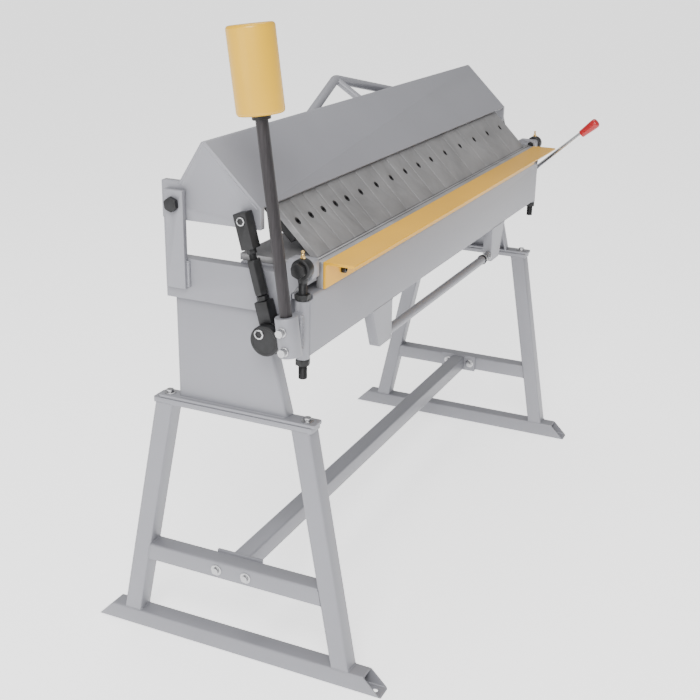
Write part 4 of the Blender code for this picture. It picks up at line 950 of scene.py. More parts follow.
# ---------------------------------------------------------------- bed
class BRAKE_OT_bed(bpy.types.Operator):
    """Ground bed plate on its folded beam"""
    bl_idname = "brake.bed"
    bl_label = "Bed"

    def execute(self, context):
        lowest, highest = low("bed_plate"), high("bed_plate")
        outline = [(lowest.y, highest.z), (highest.y, highest.z), (highest.y, lowest.z),
                   (lowest.y + 0.010, lowest.z), (lowest.y, highest.z - 0.003)]
        with Piece("bed_plate", "frame", "steel", ["bed_plate"], edge=sizes().steel_edge) as part:
            part.slab(outline, lowest.x, highest.x)
        self.beam()
        return {"FINISHED"}

    def beam(self):
        lowest, highest = low("bed_beam"), high("bed_beam")
        wall, bend = 0.006, sizes().sheet_bend
        front_top, front_low = lowest.y, low("bed_plate").y + 0.094
        outline = [(front_top, highest.z), (highest.y, highest.z), (highest.y, lowest.z),
                   (highest.y - wall, lowest.z),
                   (highest.y - wall, highest.z - wall), (front_top + 1.7 * wall, highest.z - wall),
                   (front_low + 1.2 * wall, lowest.z), (front_low, lowest.z)]
        radii = [bend, bend, 0, 0, bend - 0.7 * wall, bend - 0.7 * wall, 0, 0]
        shoulder = low("right_cheek").z + 0.002
        column_inner = abs(low("right_column").x) - 0.001
        with Piece("bed_beam", "frame", "paint", ["bed_beam"], edge=0.0007) as part:
            part.slab(rounded(outline, radii, 4), lowest.x, highest.x)
            for side in (-1, 1):
                ends = sorted((side * column_inner, side * (highest.x + wall)))
                part.slab(rectangle((front_top - 0.01, lowest.z - wall), (0.0, shoulder)), *ends, cut=True)


# ---------------------------------------------------------------- upper beam
LIP = Vector((-0.0795, 0.092))    # front edge of the roof, above the bed
RIDGE = Vector((0.033, 0.200))
REAR_SLOPE = math.radians(57.3)
REAR_EDGE = 0.117
SHEET = 0.005
END_PLATE = 0.012


def roof_line(offset):
    """Lip, ridge and rear edge of the roof, moved in from its outside by an offset."""
    front = (RIDGE - LIP).normalized()
    front_normal = Vector((front.y, -front.x))
    rear = Vector((math.cos(REAR_SLOPE), -math.sin(REAR_SLOPE)))
    rear_normal = Vector((-math.sin(REAR_SLOPE), -math.cos(REAR_SLOPE)))
    rear_edge = RIDGE + rear * (RIDGE.y - REAR_EDGE) / math.sin(REAR_SLOPE)
    bisector = (front_normal + rear_normal).normalized()
    ridge = RIDGE + bisector * offset / bisector.dot(front_normal)
    lift = Vector((0, BED_TOP))
    return [point + lift for point in (LIP + front_normal * offset, ridge,
                                       rear_edge + rear_normal * offset)]


class BRAKE_OT_roof(bpy.types.Operator):
    """Folded roof beam with its end plates and inner ribs"""
    bl_idname = "brake.roof"
    bl_label = "Roof beam"
    rib, rib_places = 0.008, (-0.3048, 0.0, 0.3048)

    def execute(self, context):
        lowest, highest = low("beam_shell"), high("beam_shell")
        outer, inner = roof_line(0.0), roof_line(SHEET)
        bend = sizes().sheet_bend
        outline = outer + inner[::-1]
        with Piece("beam_shell", "upper_beam", "paint", ["beam_shell"], edge=0.0008) as part:
            part.slab(rounded(outline, [0, bend, 0, 0, bend - 0.6 * SHEET, 0], 6), lowest.x, highest.x)
            for side in (-1, 1):
                self.end_plate(part, side, highest)
            for x in self.rib_places:
                self.rib_at(part, x)
        return {"FINISHED"}

    def end_plate(self, part, side, highest):
        face = sorted((side * (highest.x - 0.0005), side * (highest.x - END_PLATE)))
        under = roof_line(SHEET - 0.0002)
        bottom = BED_TOP + 0.053
        lug_top, lug_rear = BED_TOP + 0.122, highest.y
        on_slope = under[1] + (under[2] - under[1]) * ((under[1].y - lug_top) / (under[1].y - under[2].y))
        outline = [(LIP.x, bottom), (LIP.x, LIP.y + BED_TOP), tuple(under[0]), tuple(under[1]),
                   tuple(on_slope),
                   (lug_rear, lug_top), (lug_rear, bottom)]
        part.slab(rounded(outline, [0.002, 0, 0, 0, 0, 0.003, 0.003]), *face)
        start = Vector((side * (highest.x - 0.0008), under[0].x + 0.004, under[0].y - 0.0005))
        peak = Vector((side * (highest.x - 0.0008), under[1].x, under[1].y - 0.0005))
        part.bead([start, peak], 0.0013)
        for axis, radius in ((BEAM_AXIS, PIVOT_BORE), (LINK_AXIS, 0.0081)):
            part.bore((side * (highest.x - 2 * END_PLATE), axis.y, axis.z),
                      (side * (highest.x + END_PLATE), axis.y, axis.z), radius)

    def rib_at(self, part, x):
        under = roof_line(SHEET - 0.0002)
        rail_low, rail_high = finger_point(0.079, 0.0267), finger_point(0.142, 0.0267)
        front = under[0] + (under[1] - under[0]) * 0.30
        outline = [tuple(rail_low), tuple(rail_high), tuple(front), tuple(under[1]),
                   tuple(under[1] + (under[2] - under[1]) * 0.98), (RIDGE.x + 0.027, BED_TOP + 0.065),
                   tuple(finger_point(0.118, 0.030))]
        part.slab(rounded(outline, [0, 0, 0, 0, 0, 0.006, 0.004]), x - self.rib / 2, x + self.rib / 2)


class BRAKE_OT_truss(bpy.types.Operator):
    """Bent tube and strut that stiffen the roof beam from behind"""
    bl_idname = "brake.truss"
    bl_label = "Beam truss"
    radius, half_span, bend = 0.010, 0.250, 0.030
    peak = Vector((0, 0.1065, 0.224))

    def execute(self, context):
        lift = Vector((0, 0, BED_TOP))
        peak = self.peak + lift
        ridge = Vector((0, RIDGE.x, RIDGE.y)) + lift
        normal = Vector((0, math.sin(REAR_SLOPE), math.cos(REAR_SLOPE)))
        down = Vector((0, math.cos(REAR_SLOPE), -math.sin(REAR_SLOPE)))
        foot = peak - normal * (peak - ridge).dot(normal)
        base = foot + down * 0.016
        ends = [base + Vector((side * self.half_span, 0, 0)) for side in (-1, 1)]
        plane = (foot, normal)
        path = [ends[0]] + self.elbow(ends[0], peak, ends[1]) + [ends[1]]
        with Piece("beam_truss", "upper_beam", "paint", ["beam_truss"], edge=0) as part:
            part.sweep(path, self.radius, 28, start_plane=plane, end_plane=plane)
            part.sweep([peak - normal * self.radius * 0.4, foot], self.radius * 0.8, 24, end_plane=plane)
            for end in ends:
                inward = (foot - end).normalized()
                loop = [end + normal * 0.0006 + inward * 0.030 * math.cos(angle)
                        + down * 0.0105 * math.sin(angle)
                        for angle in [TWO_PI * step / 28 for step in range(29)]]
                part.sweep(loop, 0.0018, 10)
            part.sweep([foot + normal * 0.0006 + OUTWARD * 0.0085 * math.cos(angle)
                        + down * 0.0085 * math.sin(angle)
                        for angle in [TWO_PI * step / 20 for step in range(21)]], 0.0016, 10)
        return {"FINISHED"}

    def elbow(self, before, corner, after):
        """Round the bend of the tube."""
        first, second = (before - corner).normalized(), (after - corner).normalized()
        half = first.angle(second) / 2
        reach = self.bend / math.tan(half)
        middle = corner + (first + second).normalized() * self.bend / math.sin(half)
        start, end = corner + first * reach - middle, corner + second * reach - middle
        total = start.angle(end)
        points = []
        for step in range(9):
            share = step / 8
            blend = start * math.sin((1 - share) * total) + end * math.sin(share * total)
            points.append(middle + blend / math.sin(total))
        return points


# ---------------------------------------------------------------- fingers
NOSE = Vector((-0.1597, 0.0004))
FINGER_THICKNESS, FINGER_LENGTH = 0.012, 0.139
SCREW_STATION = 0.0768
SLOPE = Vector((0, 1, 1)).normalized()
INTO = Vector((0, 1, -1)).normalized()


def finger_point(along, depth):
    """Y and Z of a point along the slope from the nose, at a depth below the upper face."""
    place = Vector((0, NOSE.x, NOSE.y + BED_TOP)) + SLOPE * along + INTO * depth
    return Vector((place.y, place.z))


def screw_place(x, depth):
    return Vector((x, *finger_point(SCREW_STATION, depth)))


class BRAKE_OT_fingers(bpy.types.Operator):
    """Sixteen ground clamping fingers, their socket screws and the black rail behind them"""
    bl_idname = "brake.fingers"
    bl_label = "Fingers"
    counterbore, counterbore_depth, head, socket = 0.0077, 0.0085, 0.0075, 0.0075

    def execute(self, context):
        outline = [finger_point(0, 0), finger_point(FINGER_LENGTH, 0),
                   finger_point(FINGER_LENGTH, FINGER_THICKNESS),
                   finger_point(FINGER_THICKNESS, FINGER_THICKNESS)]
        for node in FINGERS:
            lowest, highest = low(node), high(node)
            x = (lowest.x + highest.x) / 2
            with Piece(node, "upper_beam", "steel", [node], edge=0.0005) as part:
                part.slab(rounded(outline, [0.0009, 0, 0, 0.002], 3), lowest.x, highest.x)
                step = self.counterbore_depth + 0.01
                part.turned(screw_place(x, -0.01), INTO, [(0, self.counterbore), (step, self.counterbore),
                                                         (step, 0.0045), (0.04, 0.0045)], 32, cut=True)
        self.rail()
        self.screws()
        return {"FINISHED"}

    def rail(self):
        top = FINGER_THICKNESS + 0.0003
        stations = [(0.053, top), (0.140, top), (0.140, top + RAIL_THICKNESS),
                    (0.118, top + RAIL_THICKNESS),
                    (0.118, top + 0.006), (0.094, top + 0.006), (0.094, top + RAIL_THICKNESS),
                    (0.053, top + RAIL_THICKNESS)]
        outline = [finger_point(along, depth) for along, depth in stations]
        with Piece("clamp_rail", "upper_beam", "oxide", ["clamp_rail"], edge=0.0008) as part:
            part.slab(outline, low("clamp_rail").x, high("clamp_rail").x)

    def screws(self):
        with Piece("finger_screws", "upper_beam", "oxide", edge=0) as part:
            for node in FINGERS:
                x = centre(node).x
                bottom = self.counterbore_depth - 0.0003
                top = bottom - 0.0078
                height = bottom - top
                profile = [(0, self.head - 0.0007), (0.0005, self.head - 0.0001), (0.001, self.head),
                           (height, self.head), (height, 0.004), (0.018 - top, 0.004)]
                part.turned(screw_place(x, top), INTO, profile, 32)
                part.hexagon(screw_place(x, top - 0.002), INTO, 0.0065, self.socket, cut=True, phase=x * 40)


# ---------------------------------------------------------------- clamp linkage
def on_link(x, along, across=0.0):
    side = Vector((0, -LINK_DIRECTION.z, LINK_DIRECTION.y))
    return Vector((x, LINK_AXIS.y, LINK_AXIS.z)) + LINK_DIRECTION * along + side * across


class BRAKE_OT_links(bpy.types.Operator):
    """Adjustable links between the beam and the eccentrics, with turnbuckles and lock nuts"""
    bl_idname = "brake.links"
    bl_label = "Clamp links"
    half, clevis_top, clevis_end = 0.0125, -0.014, 0.050
    turn_start, turn_end = 0.069, 0.132
    ring_radius, ring_bore, ring_shift = 0.029, 0.0225, 0.0018
    stud, nut_flats, slim_flats, turn_flats = 0.007, 0.020, 0.0155, 0.022

    def execute(self, context):
        for label, side in SIDES:
            x = side * (LINK_INNER + LINK_OUTER) / 2
            self.clevis(label, side, x)
            self.turnbuckle(label, x)
            self.eye(label, side, x)
            self.pin(label, side)
        return {"FINISHED"}

    def block(self, part, side, start, end):
        corners = [on_link(0, start, -self.half), on_link(0, end, -self.half), on_link(0, end, self.half),
                   on_link(0, start, self.half)]
        outline = [(corner.y, corner.z) for corner in corners]
        part.slab(rounded(outline, 0.0015, 3), *sorted((side * LINK_INNER, side * LINK_OUTER)))

    def clevis(self, label, side, x):
        node = label + "_link_clevis"
        with Piece(node, "%s_link" % label, "oxide", [node], edge=0.0006) as part:
            self.block(part, side, self.clevis_top, self.clevis_end)
            part.hexagon(on_link(x, self.clevis_end + 0.0004), LINK_DIRECTION, 0.0085, self.slim_flats,
                         phase=0.4)
            part.thread(on_link(x, self.clevis_end), LINK_DIRECTION, 0.032, self.stud, 0.00175)
            part.bore((side * (LINK_INNER - 0.01), LINK_AXIS.y, LINK_AXIS.z),
                      (side * (LINK_OUTER + 0.01), LINK_AXIS.y, LINK_AXIS.z), 0.0081)

    def turnbuckle(self, label, x):
        node = label + "_turnbuckle"
        with Piece(node, "%s_link" % label, "oxide", [node], edge=0.0005) as part:
            part.hexagon(on_link(x, self.turn_start), LINK_DIRECTION, self.turn_end - self.turn_start,
                         self.turn_flats, phase=0.1)
            part.bore(on_link(x, self.turn_start - 0.01), on_link(x, self.turn_end + 0.01),
                      self.stud + 0.0002)

    def eye(self, label, side, x):
        node = label + "_link_eye"
        centre_y, centre_z = DISC_CENTRE.y - self.ring_shift, DISC_CENTRE.z - 0.1 * self.ring_shift
        end = (Vector((0, DISC_CENTRE.y, DISC_CENTRE.z)) - Vector((0, LINK_AXIS.y, LINK_AXIS.z))).length
        with Piece(node, "%s_link" % label, "oxide", [node], edge=0.0006) as part:
            self.block(part, side, self.turn_end + 0.011, end - self.ring_bore - 0.002)
            start = Vector((side * LINK_INNER, centre_y, centre_z))
            width = LINK_OUTER - LINK_INNER
            part.turned(start, (side, 0, 0), [(0, self.ring_bore), (0, self.ring_radius),
                                              (width, self.ring_radius), (width, self.ring_bore)], 56,
                                              closed=True)
            part.hexagon(on_link(x, self.turn_end + 0.002), LINK_DIRECTION, 0.0086, self.nut_flats,
                         phase=0.7)
            part.thread(on_link(x, self.turn_end + 0.013), -LINK_DIRECTION, 0.027, self.stud, 0.00175)

    def pin(self, label, side):
        node = label + "_link_pin"
        face = max(abs(low(node).x), abs(high(node).x))
        start = min(abs(low(node).x), abs(high(node).x))
        outward = Vector((side, 0, 0))

        def at(x):
            return Vector((side * x, LINK_AXIS.y, LINK_AXIS.z))
        with Piece(node, "upper_beam", "zinc", [node], edge=0) as part:
            part.turned(at(start), outward, [(0, 0.0072), (0.0008, 0.008), (face - start - 0.0010, 0.008),
                                             (face - start - 0.0003, 0.0077), (face - start, 0.0070)], 40)
            part.hexagon(at(face - 0.005), outward, 0.01, 0.0110, cut=True)
        # Black disc inside the pin's hex socket: painted shade that makes the recess read dark
        with Piece(node + "_socket", "upper_beam", "oxide", edge=0) as part:
            part.rod(at(face - 0.0024), at(face - 0.0014), 0.0054, 0, 24)


class BRAKE_OT_clamp_shaft(bpy.types.Operator):
    """Cross shaft with its eccentric discs, the clamp lever and its grip"""
    bl_idname = "brake.clamp_shaft"
    bl_label = "Clamp shaft"
    disc_radius, journal_radius, boss_radius = 0.028, 0.0205, 0.009
    lever_angle, lever_length = math.radians(42), 0.287

    def execute(self, context):
        lowest, highest = low("clamp_shaft"), high("clamp_shaft")
        with Piece("clamp_shaft", "clamp_shaft", "zinc", ["clamp_shaft"], edge=0) as part:
            part.rod((lowest.x, SHAFT_AXIS.y, SHAFT_AXIS.z), (highest.x, SHAFT_AXIS.y, SHAFT_AXIS.z), 0.012)
        for label, side in SIDES:
            self.eccentric(label, side)
        self.lever()
        return {"FINISHED"}

    def eccentric(self, label, side):
        node = label + "_eccentric"
        tip = max(abs(low(node).x), abs(high(node).x))
        face = tip - 0.0015
        start = LINK_OUTER + 0.001
        outward = Vector((side, 0, 0))
        width = face - start
        disc = [(0, self.disc_radius - 0.0012), (0.0012, self.disc_radius),
                (width - 0.0022, self.disc_radius),
                (width - 0.0007, self.disc_radius - 0.0006), (width, self.disc_radius - 0.0022),
                (width, self.disc_radius - 0.0050), (width - 0.0004, self.disc_radius - 0.0054),
                (width - 0.0004, 0.0012)]
        with Piece(node, "clamp_shaft", "oxide", [node], edge=0) as part:
            part.turned((side * start, DISC_CENTRE.y, DISC_CENTRE.z), outward, disc, 72)
            part.rod((side * LINK_INNER, DISC_CENTRE.y, DISC_CENTRE.z),
                     (side * (start + 0.002), DISC_CENTRE.y, DISC_CENTRE.z), self.journal_radius, 0.0006,
                     56)
            if label == "right":
                plane = centre("clamp_lever").x
                part.rod(self.on_lever(plane, 0.020), self.on_lever(plane, 0.034), 0.011, 0.001)
        with Piece(label + "_eccentric_screw", "clamp_shaft", "zinc", edge=0) as part:
            seat = Vector((side * (face - 0.002), SHAFT_AXIS.y, SHAFT_AXIS.z))
            part.turned(seat, outward, [(0, self.boss_radius), (0.0030, self.boss_radius),
                                        (0.0035, self.boss_radius - 0.0007)], 40)
            part.hexagon(seat + outward * 0.0005, outward, 0.006, 0.0124, cut=True)
        # Black disc at the bottom of the screw's hex socket: painted shade that makes the recess read dark
        with Piece(label + "_eccentric_socket", "clamp_shaft", "oxide", edge=0) as part:
            part.rod((side * (face - 0.0016), SHAFT_AXIS.y, SHAFT_AXIS.z),
                     (side * (face - 0.0012), SHAFT_AXIS.y, SHAFT_AXIS.z), 0.0061, 0, 24)

    def on_lever(self, x, distance):
        reach = Vector((0, -math.cos(self.lever_angle), math.sin(self.lever_angle))) * distance
        return Vector((x, DISC_CENTRE.y, DISC_CENTRE.z)) + reach

    def lever(self):
        x = (low("clamp_lever").x + high("clamp_lever").x) / 2
        start, tip = self.on_lever(x, 0.024), self.on_lever(x, self.lever_length)
        size = (tip - start).length
        with Piece("clamp_lever", "clamp_shaft", "chrome", ["clamp_lever"], edge=0) as part:
            part.turned(start, tip - start, [(0, 0.0080), (size * 0.5, 0.0078), (size - 0.01, 0.0075),
                                             (size, 0.0070)], 36)
        grip_start = self.on_lever(x, self.lever_length + 0.006 - 0.055)
        profile = [(0, 0.0076), (0, 0.0094), (0.0006, 0.0099), (0.0020, 0.0101), (0.014, 0.0108),
                   (0.030, 0.0121),
                   (0.042, 0.0129), (0.0475, 0.0129), (0.0512, 0.0119), (0.0538, 0.0092), (0.0550, 0.0046),
                   (0.0551, 0.0012)]
        with Piece("lever_grip", "clamp_shaft", "grip", ["lever_grip"], edge=0) as part:
            part.turned(grip_start, tip - start, profile, 48)


# ---------------------------------------------------------------- apron
APRON_PLATE = 0.008
SLEEVE_RADIUS, SLEEVE_BORE = 0.0127, 0.0083
HANDLE_LEAN = Vector((0, 0.130, 1)).normalized()
HANDLE_FOOT = Vector((centre("handle_rod").x, -0.1700, -0.140))


def handle_point(distance):
    """A point on the handle rod, from the middle of its socket."""
    middle = HANDLE_FOOT + Vector((0, 0.130 * 0.035, 0.035 + BED_TOP))
    return middle + HANDLE_LEAN * distance


class BRAKE_OT_apron(bpy.types.Operator):
    """Apron plate and shelf, pivot sleeves, handle socket and the brackets of its truss"""
    bl_idname = "brake.apron"
    bl_label = "Apron"
    socket_radius, socket_height, rod_bore = 0.020, 0.070, 0.0107
    bracket_inner, bracket_top, bracket_foot, bracket_drop = 0.316, 0.100, 0.062, 0.084

    def execute(self, context):
        lowest, highest = low("apron_panel"), high("apron_panel")
        front = -0.1795
        top, bottom = BED_TOP - 0.048, BED_TOP - 0.1555
        self.sleeve_x = (low("right_eye_bolt").x + high("right_eye_bolt").x) / 2
        with Piece("apron_panel", "apron", "paint", ["apron_panel"], edge=0.0009) as part:
            bend = sizes().sheet_bend
            outline = [(front, bottom), (front + APRON_PLATE, bottom),
                       (front + APRON_PLATE, top - APRON_PLATE),
                       (front + 0.035, top - APRON_PLATE), (front + 0.035, top), (front, top)]
            reach = self.sleeve_x - 0.002
            part.slab(rounded(outline, [0.001, 0.001, 0.003, 0.001, 0.001, bend * 0.5], 4), -reach, reach)
            for side in (-1, 1):
                self.sleeve(part, side, front)
                self.bracket(part, side, front, bottom)
            self.socket(part, lowest)
        return {"FINISHED"}

    def sleeve(self, part, side, front):
        x = side * self.sleeve_x
        start = Vector((x, APRON_AXIS.y, BED_TOP - 0.162))
        size = 0.162 - 0.0555
        profile = [(0, SLEEVE_BORE), (0, SLEEVE_RADIUS - 0.0012), (0.0012, SLEEVE_RADIUS),
                   (size - 0.0012, SLEEVE_RADIUS),
                   (size, SLEEVE_RADIUS - 0.0012), (size, SLEEVE_BORE)]
        part.turned(start, UP, profile, 48, closed=True)
        part.bore((x, APRON_AXIS.y, start.z - 0.01), (x, APRON_AXIS.y, BED_TOP), SLEEVE_BORE, 40)
        part.bore((x, APRON_AXIS.y, BED_TOP - 0.0555 + 0.0002), (x, APRON_AXIS.y, BED_TOP), 0.0180, 40)

    def bracket(self, part, side, front, bottom):
        inner = self.bracket_inner
        outline = [(side * inner, bottom + APRON_PLATE),
                   (side * (inner + self.bracket_top), bottom + APRON_PLATE),
                   (side * (inner + self.bracket_foot), bottom - self.bracket_drop),
                   (side * inner, bottom - self.bracket_drop)]
        part.slab(rounded(outline, [0, 0, 0.006, 0.003]), front + 0.0005, front + 0.0215, "Y")
        part.bead([(side * inner, front + 0.001, bottom),
                   (side * (inner + self.bracket_top * 0.96), front + 0.001, bottom)],
                  0.0017)

    def socket(self, part, lowest):
        half = self.socket_height / 2
        edge = 0.0016
        size = self.socket_height
        profile = [(0, self.rod_bore), (0, self.socket_radius - edge),
                   (edge * 0.35, self.socket_radius - edge * 0.3),
                   (edge, self.socket_radius), (size - edge, self.socket_radius),
                   (size - edge * 0.35, self.socket_radius - edge * 0.3), (size, self.socket_radius - edge),
                   (size, self.rod_bore + 0.0006), (size - 0.0006, self.rod_bore)]
        part.turned(handle_point(-half), HANDLE_LEAN, profile, 64, closed=True)
        web_y = (APRON_AXIS.y + handle_point(0).y) / 2
        part.block((HANDLE_FOOT.x + self.socket_radius * 0.75, web_y - 0.007,
                    handle_point(-half).z + 0.003),
                   (-self.sleeve_x - SLEEVE_RADIUS * 0.7, web_y + 0.007, handle_point(half).z - 0.003), "Z",
                   0.001)
        x = (HANDLE_FOOT.x + self.socket_radius - self.sleeve_x - SLEEVE_RADIUS) / 2
        part.bead([(x, web_y - 0.0080, handle_point(-half).z + 0.004),
                   (x, web_y - 0.0080, handle_point(half).z - 0.004)], 0.0052)


class BRAKE_OT_bending_bar(bpy.types.Operator):
    """Bending bar on the apron, and the yellow extension angle screwed to it"""
    bl_idname = "brake.bending_bar"
    bl_label = "Bending bar and angle"
    wall, screws = 0.005, (-0.565, 0.565)

    def execute(self, context):
        lowest, highest = low("bending_bar"), high("bending_bar")
        with Piece("bending_bar", "apron", "steel", ["bending_bar"], edge=sizes().steel_edge) as part:
            part.slab(rectangle((lowest.y, lowest.z), (highest.y, highest.z)), lowest.x, highest.x)
        lowest, highest = low("extension_angle"), high("extension_angle")
        wall = self.wall
        outline = [(highest.y, lowest.z), (highest.y, highest.z), (lowest.y, highest.z),
                   (lowest.y, highest.z - wall),
                   (highest.y - wall, highest.z - wall), (highest.y - wall, lowest.z)]
        with Piece("extension_angle", "apron", "angle", ["extension_angle"], edge=0.0006) as part:
            part.slab(rounded(outline, [0, 0.0012, 0.0016, 0.0022, 0.005, 0.0022], 4), lowest.x, highest.x)
        with Piece("angle_screws", "apron", "oxide", edge=0.0003) as part:
            for x in self.screws:
                seat = Vector((x, highest.y - wall, BED_TOP - 0.028))
                outward = Vector((0, -1, 0))
                part.turned(seat, outward, [(0, 0.0068), (0.0072, 0.0068), (0.0080, 0.0060)], 36)
                part.hexagon(seat + outward * 0.004, outward, 0.006, 0.006, cut=True)
        return {"FINISHED"}


class BRAKE_OT_eye_bolts(bpy.types.Operator):
    """Eye bolts that hang the apron, with their nuts and grease nipples"""
    bl_idname = "brake.eye_bolts"
    bl_label = "Eye bolts"
    radius, bore, stud = 0.0185, 0.0081, 0.008

    def execute(self, context):
        for label, side in SIDES:
            self.build(label, side)
            self.nipple(label, side)
        return {"FINISHED"}

    def build(self, label, side):
        node = label + "_eye_bolt"
        inner = CHEEK_OUTER + 0.002
        width = 0.020
        x = (low(node).x + high(node).x) / 2
        soft = 0.0028
        ring = [(0, self.bore), (0, self.radius - soft), (soft * 0.3, self.radius - soft * 0.3),
                (soft, self.radius),
                (width - soft, self.radius), (width - soft * 0.3, self.radius - soft * 0.3),
                (width, self.radius - soft), (width, self.bore)]
        collar = BED_TOP - 0.0555 + 0.0003
        lower = BED_TOP - 0.162 - 0.0003

        def at(z):
            return Vector((x, APRON_AXIS.y, z))
        with Piece(node, "apron", "oxide", [node], edge=0.0004) as part:
            part.turned((side * inner, APRON_AXIS.y, APRON_AXIS.z), (side, 0, 0), ring, 56, closed=True)
            neck = BED_TOP - self.radius + 0.004
            part.turned(at(neck), -UP, [(0, 0.0100), (0.006, 0.0088), (0.010, self.stud)], 36)
            part.rod(at(neck - 0.009), at(collar), self.stud - 0.0012, 0)
            part.thread(at(neck - 0.0095), -UP, neck - 0.0095 - collar, self.stud, sizes().thread_pitch)
            part.rod(at(collar), at(lower), self.stud, 0)
            part.turned(at(collar), UP, [(0, 0.0122), (0.0006, 0.0127), (0.0020, 0.0125), (0.0035, 0.0112)],
                        44)
            part.hexagon(at(collar + 0.0020), UP, 0.0090, 0.0236, phase=0.5)
            part.hexagon(at(lower), -UP, 0.0110, 0.0236, phase=0.25)
            part.thread(at(lower - 0.0105), -UP, lower - 0.0105 - low(node).z, self.stud,
                        sizes().thread_pitch)

    def nipple(self, label, side):
        x = (low(label + "_eye_bolt").x + high(label + "_eye_bolt").x) / 2
        seat = Vector((x, APRON_AXIS.y, BED_TOP + self.radius - 0.0006))
        with Piece(label + "_grease_nipple", "apron", "brass", edge=0) as part:
            part.hexagon(seat, UP, 0.0045, 0.0080)
            part.turned(seat + UP * 0.0044, UP,
                        [(0, 0.0033), (0.0030, 0.0030), (0.0042, 0.0019), (0.0054, 0.0021),
                                                 (0.0066, 0.0029), (0.0080, 0.0032), (0.0094, 0.0027),
                                                 (0.0102, 0.0012)], 28)


class BRAKE_OT_handle(bpy.types.Operator):
    """Handle rod with its counterweight and collar, and the two bolts that hold it in the socket"""
    bl_idname = "brake.handle"
    bl_label = "Handle and counterweight"
    rod_radius, weight_radius, weight_length, rim = 0.0105, 0.0395, 0.140, 0.006
    rod_length, weight_seat = 0.430, 0.060

    def execute(self, context):
        start = handle_point(-0.035)
        size = (handle_point(self.rod_length) - start).length
        with Piece("handle_rod", "apron", "rod", ["handle_rod"], edge=0) as part:
            radius = self.rod_radius
            part.turned(start, HANDLE_LEAN, [(0, radius - 0.001), (0.001, radius), (size - 0.001, radius),
                                             (size, radius - 0.001)], 48)
        base = handle_point(self.rod_length - self.weight_seat)
        profile = [(0.0, self.rod_radius + 0.0001), (0.0, self.weight_radius - self.rim)]
        for height, begin in ((self.rim, 0.0), (self.weight_length - self.rim, math.pi / 2)):
            for step in range(1 if begin == 0.0 else 0, 8):
                angle = begin + math.pi / 2 * step / 7
                profile.append((height - self.rim * math.cos(angle),
                                self.weight_radius - self.rim + self.rim * math.sin(angle)))
        profile.append((self.weight_length, 0.0008))
        with Piece("counterweight", "apron", "weight", ["counterweight"], edge=0) as part:
            part.turned(base, HANDLE_LEAN, profile, 96)
        with Piece("counterweight_collar", "apron", "oxide", edge=0) as part:
            part.turned(base - HANDLE_LEAN * 0.008, HANDLE_LEAN,
                        [(0, self.rod_radius + 0.0002), (0, 0.0142), (0.0012, 0.0156), (0.0079, 0.0157),
                         (0.0079, self.rod_radius + 0.0002)], 56, closed=True)
        for number, distance in ((1, -0.021), (2, 0.013)):
            self.bolt("handle_set_bolt_%d" % number, handle_point(distance))
        return {"FINISHED"}

    def bolt(self, node, place):
        outward = Vector((-1, 0, 0))
        seat = place + outward * 0.024
        with Piece(node, "apron", "zinc", [node], edge=0) as part:
            part.rod(place + outward * (self.rod_radius + 0.0003), seat + outward * 0.001, 0.004, 0.0003,
                     24)
            part.washer(place + outward * 0.0195, outward, 0.0030, 0.0085, 0.0041)
            part.turned(seat - outward * 0.0012, outward, [(0, 0.0062), (0.0013, 0.0062)], 36)
            part.hexagon(seat, outward, 0.0080, 0.0130, phase=0.35)


class BRAKE_OT_apron_strut(bpy.types.Operator):
    """Adjustable rod between the apron's brackets"""
    bl_idname = "brake.apron_strut"
    bl_label = "Apron truss rod"

    def execute(self, context):
        node = "apron_truss_rod"
        spot = centre(node)
        inner = 0.316 - 0.0003
        radius = 0.010

        def at(x):
            return Vector((x, spot.y, spot.z))
        with Piece(node, "apron", "paint", [node], edge=0) as part:
            part.rod(at(-inner), at(inner - 0.040), radius, 0.0008, 36)
        with Piece("apron_truss_ring", "apron", "oxide", edge=0) as part:
            part.washer(at(inner - 0.0395), OUTWARD, 0.0030, 0.0122, 0.0055)
        with Piece("apron_truss_nut", "apron", "zinc", edge=0) as part:
            part.thread(at(inner - 0.041), OUTWARD, 0.041, 0.0062, 0.00175)
            part.hexagon(at(inner - 0.0365), OUTWARD, 0.0110, 0.0190, phase=0.3)
            part.hexagon(at(inner - 0.0130), OUTWARD, 0.0090, 0.0190, phase=0.6)
            part.washer(at(inner - 0.0035), OUTWARD, 0.0030, 0.0122, 0.0055)
        return {"FINISHED"}


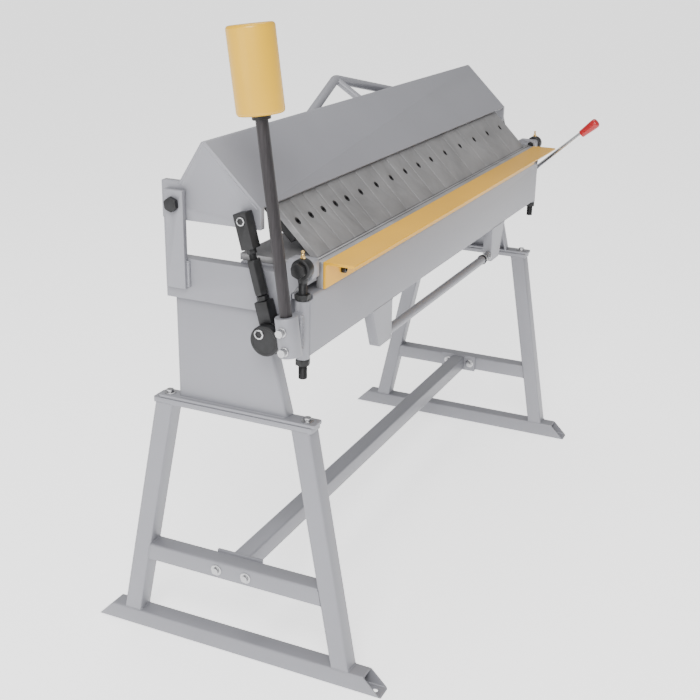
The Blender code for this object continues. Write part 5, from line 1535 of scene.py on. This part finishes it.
# ---------------------------------------------------------------- stage
class BRAKE_OT_stage(bpy.types.Operator):
    """Pale floor, soft light and the camera"""
    bl_idname = "brake.stage"
    bl_label = "Stage"

    def execute(self, context):
        self.floor()
        self.world()
        self.light("key_light", (-3.4, -1.2, 3.4), 2.0, 200.0)
        self.light("side_light", (-4.2, 1.0, 1.6), 2.4, 34.0)
        self.light("top_light", (0.6, 0.6, 4.2), 2.6, 60.0)
        self.camera()
        return {"FINISHED"}

    def floor(self):
        shape = bmesh.new()
        bmesh.ops.create_grid(shape, x_segments=4, y_segments=4, size=70.0)
        mesh = bpy.data.meshes.new("floor")
        shape.to_mesh(mesh)
        shape.free()
        recipe = Recipe("floor")
        drift = recipe.noise(0.6, 2.0)
        shade = tuple(bpy.context.scene.brake_stage.floor)
        mesh.materials.append(recipe.shade(Base_Color=recipe.blend(tinted(shade, 0.995),
                                                                   tinted(shade, 1.005), drift),
                                           Roughness=0.75, Emission_Color=(1.0, 1.0, 1.0),
                                           Emission_Strength=1.3))
        made = bpy.data.objects.new("floor", mesh)
        made.location = (MIDDLE.x, MIDDLE.y, -0.0005)
        bpy.context.scene.collection.objects.link(made)

    def world(self):
        world = bpy.data.worlds.new("studio")
        bpy.context.scene.world = world
        world.use_nodes = True
        background = world.node_tree.nodes["Background"]
        background.inputs["Color"].default_value = (1.0, 1.0, 1.0, 1.0)
        background.inputs["Strength"].default_value = 0.60

    def light(self, name, place, size, power):
        lamp = bpy.data.lights.new(name, "AREA")
        lamp.shape, lamp.size, lamp.energy = "SQUARE", size, power
        made = bpy.data.objects.new(name, lamp)
        made.location = MIDDLE + Vector(place)
        aim = MIDDLE + Vector((0, 0, 0.7)) - made.location
        made.rotation_euler = aim.to_track_quat("-Z", "Y").to_euler()
        bpy.context.scene.collection.objects.link(made)

    def camera(self):
        stage = bpy.context.scene.brake_stage
        cosine = math.cos(stage.elevation)
        back = Vector((math.sin(stage.azimuth) * cosine, -math.cos(stage.azimuth) * cosine,
                       math.sin(stage.elevation)))
        right = (-back).cross(UP).normalized()
        upright = right.cross(-back)
        turned_right = right * math.cos(stage.roll) + upright * math.sin(stage.roll)
        turned_up = upright * math.cos(stage.roll) - right * math.sin(stage.roll)
        lens = bpy.data.cameras.new("camera")
        lens.lens, lens.sensor_width, lens.clip_start = stage.lens, 36.0, 0.05
        made = bpy.data.objects.new("camera", lens)
        turn = Matrix((turned_right, turned_up, back)).transposed().to_4x4()
        made.matrix_world = Matrix.Translation(MIDDLE + Vector(stage.place)) @ turn
        bpy.context.scene.collection.objects.link(made)
        bpy.context.scene.camera = made


OPERATORS = (BRAKE_OT_stands, BRAKE_OT_stretcher, BRAKE_OT_columns, BRAKE_OT_cheeks, BRAKE_OT_pivots,
             BRAKE_OT_bed,
             BRAKE_OT_roof, BRAKE_OT_truss, BRAKE_OT_fingers, BRAKE_OT_links, BRAKE_OT_clamp_shaft,
             BRAKE_OT_apron,
             BRAKE_OT_bending_bar, BRAKE_OT_eye_bolts, BRAKE_OT_handle, BRAKE_OT_apron_strut,
             BRAKE_OT_stage)


class BRAKE_PT_panel(bpy.types.Panel):
    bl_idname = "BRAKE_PT_panel"
    bl_label = "Sheet Metal Brake"
    bl_space_type = "VIEW_3D"
    bl_region_type = "UI"
    bl_category = "Brake"

    def draw(self, context):
        for group in (context.scene.brake_sizes, context.scene.brake_colours, context.scene.brake_stage):
            box = self.layout.box()
            for name in group.bl_rna.properties.keys():
                if name not in ("rna_type", "name"):
                    box.prop(group, name)
        for operator in OPERATORS:
            self.layout.operator(operator.bl_idname)


GROUPS = {"brake_sizes": BrakeSizes, "brake_colours": BrakeColours, "brake_stage": BrakeStage}


def register():
    for item in (*GROUPS.values(), *OPERATORS, BRAKE_PT_panel):
        bpy.utils.register_class(item)
    for name, group in GROUPS.items():
        setattr(bpy.types.Scene, name, PointerProperty(type=group))


def unregister():
    for name in GROUPS:
        delattr(bpy.types.Scene, name)
    for item in (BRAKE_PT_panel, *reversed(OPERATORS), *GROUPS.values()):
        bpy.utils.unregister_class(item)


def main():
    register()
    for operator in OPERATORS:
        family, name = operator.bl_idname.split(".")
        getattr(getattr(bpy.ops, family), name)()


if __name__ == "__main__":
    main()
